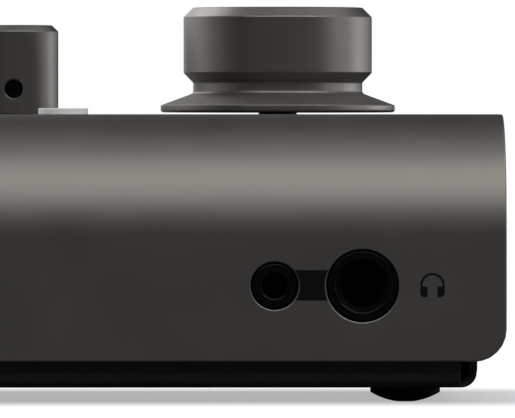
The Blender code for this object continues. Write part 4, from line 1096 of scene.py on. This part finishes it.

# Knobs
# Turned from solid aluminium and anodised the shell's grey, each held by a set screw. The volume knob has a
# wide skirt, blasted dull, and a waist under its grip. Each gain knob is a drum with a filled pointer groove.
# The gain knobs' grey is darker: painted shade, as if they lay in the volume knob's shadow.
KNOB_EDGE = 0.16 * MM
KNOB_BORE = 3.3 * MM
KNOB_ROUGHNESS = 0.44
LATHE_GLOSS = 0.1  # how far the lathe's rings change the roughness
LATHE_SPREAD = 0.03  # how far they change the colour
LATHE_SHARE = 0.7  # of the relief, where the rest is the grain
KNOB_DRIFT_GLOSS = 0.06
BLAST = 0.16  # how much duller the skirt is than the turned faces
BLAST_BLEND = 0.06 * MM
DRILL = 1.45 * MM
DRILL_START = 2 * MM  # from the knob's axis
DRILL_FLARE = 3 * MM
DRILL_EDGE = 0.25 * MM
VOLUME_GREY = (0.172, 0.165, 0.156)
VOLUME_BORE = 12 * MM
VOLUME_SCREW_HEIGHT = 9.5 * MM
SKIRT = 18.4 * MM
WAIST = 13.3 * MM
GRIP = 14.8 * MM
UNDERCUT = 0.28 * MM
UNDERCUT_EDGE = 0.06 * MM
RIM_TOP = 1.1 * MM
RIM_EDGE = 0.12 * MM
CONE_TOP = 3 * MM
CONE_FILLET = 0.42 * MM
WAIST_TOP = 4.65 * MM
GRIP_BOTTOM = 6.2 * MM
GRIP_TOP = 14.95 * MM
# Painted shade: darker than the volume knob's grey, as if the gain knobs lay in the volume knob's shadow.
GAIN_SHADED_GREY = (0.149, 0.143, 0.136)
GAIN_BORE = 10 * MM
GAIN_CHAMFER = 1 * MM
GAIN_SCREW_HEIGHT = 3.95 * MM
POINTER = (1 * MM, 3.6 * MM, 0.35 * MM)
POINTER_ROUND = 0.9  # how much of its half width its rounded ends take
POINTER_SLACK = 0.02 * MM


def turned_metal(name, colour, axis, blasted):
    """Metal with the fine rings of the lathe around an axis. It is blasted duller between two heights."""
    material = bpy.data.materials.new(name)
    start = start_nodes(material)
    place = start.node("ShaderNodeTexCoord", output="Object")
    centred = start.node("ShaderNodeVectorMath", {"operation": "SUBTRACT"}, {0: place, 1: (*axis, 0)})
    parts = start.node("ShaderNodeSeparateXYZ", {}, {0: centred})
    x, y, z = (parts.output(key) for key in "XYZ")
    ring = start.node("ShaderNodeCombineXYZ", {}, {"X": start.math("SQRT", x * x + y * y), "Z": z})
    rings = noise(start, size=0.09 * MM, where=ring)
    fine = noise(start, size=0.12 * MM)
    broad = noise(start, size=10 * MM, detail=3.0)
    rough = KNOB_ROUGHNESS + (rings - 0.5) * LATHE_GLOSS + (broad - 0.5) * KNOB_DRIFT_GLOSS
    if blasted:
        past_start, past_end = (z.step(height - BLAST_BLEND, height + BLAST_BLEND) for height in blasted)
        rough = rough + past_start * (1 - past_end) * BLAST
    relief = rings * LATHE_SHARE + fine * (1 - LATHE_SHARE)
    light, dark = shade(colour, 1 + LATHE_SPREAD), shade(colour, 1 - LATHE_SPREAD)
    surface(start, {
        "Base Color": rings.step(*NOISE_SPAN).mix(dark, light), "Roughness": rough, "Metallic": 1.0,
        "Normal": start.node("ShaderNodeBump", {}, {"Height": relief, "Distance": 0.004 * MM}),
    })
    return material


def knob(name, profile, grip, colour, drill_height, drill_turn, blasted=()):
    """A knob turned about its axis, with an eased hole for its set screw drilled into its grip."""
    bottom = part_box(f"{name}_knob")[0].z
    axis = axis_of(f"{name}_knob")
    raised = [(r, bottom + z) for r, z in eased(profile, KNOB_EDGE, steps=4)]
    metal = turned_metal(f"{name}_knob_grey", colour, axis, [bottom + height for height in blasted])
    made = make_object(f"{name}_knob_turned", turned(raised, facets=160, at=(*axis, 0)), metal)
    mouth = grip - DRILL_EDGE
    drill = turned([
        (0, DRILL_START), (DRILL, DRILL_START), (DRILL, mouth), (DRILL + DRILL_FLARE, mouth + DRILL_FLARE),
        (0, mouth + DRILL_FLARE),
    ], facets=48)
    lay = Matrix.Rotation(drill_turn, 4, "Z") @ Matrix.Rotation(-math.pi / 2, 4, "X")
    spot = Matrix.Translation((*axis, bottom + drill_height))
    bmesh.ops.transform(drill, matrix=spot @ lay, verts=drill.verts)
    return cut(made, drill)


volume_low, volume_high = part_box("volume_knob")
volume_height = volume_high.z - volume_low.z
volume_profile = [
    (0, VOLUME_BORE), (KNOB_BORE, VOLUME_BORE), (KNOB_BORE, 0), (SKIRT - UNDERCUT, 0),
    (SKIRT, UNDERCUT, UNDERCUT_EDGE), (SKIRT, RIM_TOP, RIM_EDGE), (WAIST, CONE_TOP, CONE_FILLET),
    (WAIST, WAIST_TOP), (GRIP, GRIP_BOTTOM), (GRIP, GRIP_TOP),
    (GRIP + GRIP_TOP - volume_height, volume_height), (0, volume_height),
]
volume_knob = knob(
    "volume", volume_profile, GRIP, VOLUME_GREY, VOLUME_SCREW_HEIGHT,
    drill_turn=0, blasted=(RIM_TOP, CONE_TOP),
)
hand_over(even_normals(volume_knob), "volume", "knob_metal", "volume_knob")

pointer_white = coat("pointer_paint", (0.6, 0.6, 0.58), roughness=0.55, grain=0.15 * MM, depth=0.003 * MM)
pointer_width, pointer_length, pointer_depth = POINTER
for name in GAINS:
    low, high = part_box(f"{name}_knob")
    axis = axis_of(f"{name}_knob")
    drum, tall = (high.y - low.y) / 2, high.z - low.z
    gain_profile = [
        (0, GAIN_BORE), (KNOB_BORE, GAIN_BORE), (KNOB_BORE, 0), (drum, 0), (drum, tall - GAIN_CHAMFER),
        (drum - GAIN_CHAMFER, tall), (0, tall),
    ]
    gain_knob = knob(name, gain_profile, drum, GAIN_SHADED_GREY, GAIN_SCREW_HEIGHT, drill_turn=math.pi)
    half = pointer_width / 2
    far = axis.y + drum - GAIN_CHAMFER / 2
    near = far - pointer_length
    groove = box_outline((axis.x - half, near), (axis.x + half, far), half * POINTER_ROUND)
    cut(gain_knob, prism(groove, high.z - pointer_depth, high.z + pointer_depth))
    hand_over(even_normals(gain_knob), name, "knob_metal", f"{name}_knob")
    half -= POINTER_SLACK
    far -= GAIN_CHAMFER / 2
    fill = box_outline((axis.x - half, near + POINTER_SLACK), (axis.x + half, far), half * POINTER_ROUND)
    paint = prism(fill, high.z - pointer_depth + POINTER_SLACK / 2, high.z - pointer_depth / 2)
    hand_over(make_object(f"{name}_pointer", paint, pointer_white), name, "milky_plastic")

# Shafts and set screws
# Steel shafts, and steel set screws with hexagon sockets, all blacked. Each screw is driven in from the side
# of its knob, and a flat on the shaft takes its point.
SET_SCREW = 1.35 * MM

dress([f"{name}_shaft" for name in KNOBS], black_oxide)
for name in KNOBS:
    node, rear = f"{name}_set_screw", name == "volume"
    low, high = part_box(node)
    length = high.y - low.y
    profile = [(0, 0), (SET_SCREW, 0), (SET_SCREW, length), (0, length)]
    shape = turned(eased(profile, radius=0.15 * MM), facets=48)
    screw = cut_hexagon(make_object(f"{name}_grub_screw", shape, black_oxide))
    screw.data.transform(facing(face_of(node, rear), rear))
    hand_over(even_normals(screw), name, "black_metal", node)

# Floor
# A white table top under the unit. A soft shadow is painted into its glow under the unit and fades out into
# the white around it; the lamps' own shadows fall on its dark tone.
FLOOR_SIZE = 12.0
FLOOR_TONE = (0.06, 0.06, 0.06, 1)
# The painted shadow: how grey it is, and where it lies and fades.
PAINTED_SHADOW_TONE = 0.44
PAINTED_SHADOW_SIDE = (48 * MM, 115 * MM)  # where the shadow starts to fade and where it ends, left and right
PAINTED_SHADOW_DEPTH = (31 * MM, 93 * MM)  # the same to the front and the rear of its middle
PAINTED_SHADOW_MIDDLE = -14 * MM
SEEN_BEHIND = (0.06, 0.2)  # where the ground that shiny faces see comes up, to the rear
SEEN_LEFT = (-0.1, 0.1)  # where it ends, towards the right
WHITE = (1, 1, 1, 1)
BLACK = (0, 0, 0, 1)


def shown_behind(path, behind):
    """1 for the camera, and also for shine and see-through rays that end behind the unit."""
    shine = path.math("MAXIMUM", path.output("Is Glossy Ray"), path.output("Is Transmission Ray"))
    return path.math("MAXIMUM", path.output("Is Camera Ray"), shine * behind)


floor_white = bpy.data.materials.new("floor_white")
floor = start_nodes(floor_white)
floor_place = floor.node("ShaderNodeSeparateXYZ", {}, {0: floor.node("ShaderNodeTexCoord", output="Object")})
floor_x, floor_y = floor_place.output("X"), floor_place.output("Y")
floor_side = floor.math("ABSOLUTE", floor_x).step(*PAINTED_SHADOW_SIDE)
floor_depth = floor.math("ABSOLUTE", floor_y - PAINTED_SHADOW_MIDDLE).step(*PAINTED_SHADOW_DEPTH)
# Painted shadow: the floor's glow is dimmed to a grey under the unit, by place alone.
painted_floor_shadow = (1 - floor_side) * (1 - floor_depth)
floor_left_rear = floor_y.step(*SEEN_BEHIND) * (1 - floor_x.step(*SEEN_LEFT))
floor_seen = shown_behind(floor.node("ShaderNodeLightPath"), floor_left_rear)
floor_glow_with_painted_shadow = floor_seen * (1 - (1 - PAINTED_SHADOW_TONE) * painted_floor_shadow)
surface(floor, {
    "Base Color": FLOOR_TONE, "Roughness": 0.45,
    "Emission Color": floor_glow_with_painted_shadow.mix(BLACK, WHITE), "Emission Strength": 1.0,
})
table = bmesh.new()
bmesh.ops.create_grid(table, x_segments=1, y_segments=1, size=FLOOR_SIZE)
table_top = make_object("table_top", table, floor_white)

# Light
# A wide soft box over the front makes the band along the shell's bend. Smaller boxes around and behind the
# unit edge the knobs, and shiny faces see a white ground behind it on the left.
SKY_DARK = (0.015, 0.015, 0.015, 1)
SKY_BEHIND = (0.1, 0.6)  # where the white that shiny faces see comes up, by how far a ray heads to the rear
SKY_LOW = (0.03, 0.2)  # where it ends, by how far a ray heads up
SKY_LEFT = (-0.1, 0.1)  # and by how far a ray heads to the right


def aim(obj, at, target):
    """Puts a lamp or the camera in its place and turns it to a target."""
    obj.location = at
    obj.rotation_euler = (Vector(target) - Vector(at)).to_track_quat("-Z", "Y").to_euler()


def soft_box(name, at, size, radiance, target=(0, 0, 0.05)):
    """A rectangular lamp of an even brightness, out of the camera's sight."""
    lamp = bpy.data.lights.new(name, "AREA")
    lamp.shape = "RECTANGLE"
    lamp.size, lamp.size_y = size
    lamp.energy = radiance * math.pi * size[0] * size[1]
    obj = add_object(name, lamp)
    aim(obj, at, target)
    obj.visible_camera = False


soft_box("front_box", (0.12, -0.65, 0.86), (1.8, 0.8), 2.23, target=(0, 0, 0.03))
soft_box("top_box", (0, 0.05, 1.2), (1.2, 0.5), 0.5)
soft_box("high_left_box", (-0.6, 0.56, 0.74), (0.6, 0.6), 4.25)
soft_box("rear_left_box", (-0.35, 1.0, 0.4), (0.5, 0.4), 1.58)
soft_box("left_box", (-0.92, 0.5, 0.12), (1.0, 0.4), 1.3)
soft_box("left_front_box", (-1.08, -0.22, 0.1), (0.5, 0.4), 0.79)
soft_box("high_right_box", (0.6, 0.4, 0.84), (0.6, 0.5), 0.94)
soft_box("over_right_box", (0.72, -0.25, 0.78), (0.5, 0.5), 2.09)
soft_box("right_front_box", (1.08, -0.22, 0.1), (0.5, 0.4), 2.23)
soft_box("right_box", (0.98, 0.4, 0.1), (0.35, 0.4), 4.61)
soft_box("rear_right_box", (0.8, 0.75, 0.12), (0.5, 0.4), 0.94)

world = bpy.data.worlds.new("studio")
bpy.context.scene.world = world
sky = start_nodes(world)
sky_way = sky.node("ShaderNodeSeparateXYZ", {}, {0: sky.node("ShaderNodeTexCoord", output="Generated")})
sky_low_rear = sky_way.output("Y").step(*SKY_BEHIND) * (1 - sky_way.output("Z").step(*SKY_LOW))
sky_left_rear = sky_low_rear * (1 - sky_way.output("X").step(*SKY_LEFT))
sky_seen = shown_behind(sky.node("ShaderNodeLightPath"), sky_left_rear)
sky_light = sky.node("ShaderNodeBackground", {}, {"Color": sky_seen.mix(SKY_DARK, WHITE)})
sky.node("ShaderNodeOutputWorld", {}, {"Surface": sky_light})

# Camera
# A long lens a little under two metres in front, level with the top of the shell and aimed at the right half
# of the front.
CAMERA_AWAY = 1858 * MM
CAMERA_HEIGHT = 36.9 * MM
CAMERA_AIM = (28.7 * MM, 29.5 * MM)
VIEW_WIDTH = 78.4 * MM
SENSOR = 36  # in millimetres, as its lens is

camera_data = bpy.data.cameras.new("camera")
camera_data.sensor_width = SENSOR
camera_data.lens = SENSOR * CAMERA_AWAY / VIEW_WIDTH
camera = add_object("camera", camera_data)
aim(camera, (0, shell_low.y - CAMERA_AWAY, CAMERA_HEIGHT), (CAMERA_AIM[0], shell_low.y, CAMERA_AIM[1]))
bpy.context.scene.camera = camera
bpy.context.scene.view_settings.view_transform = "Standard"
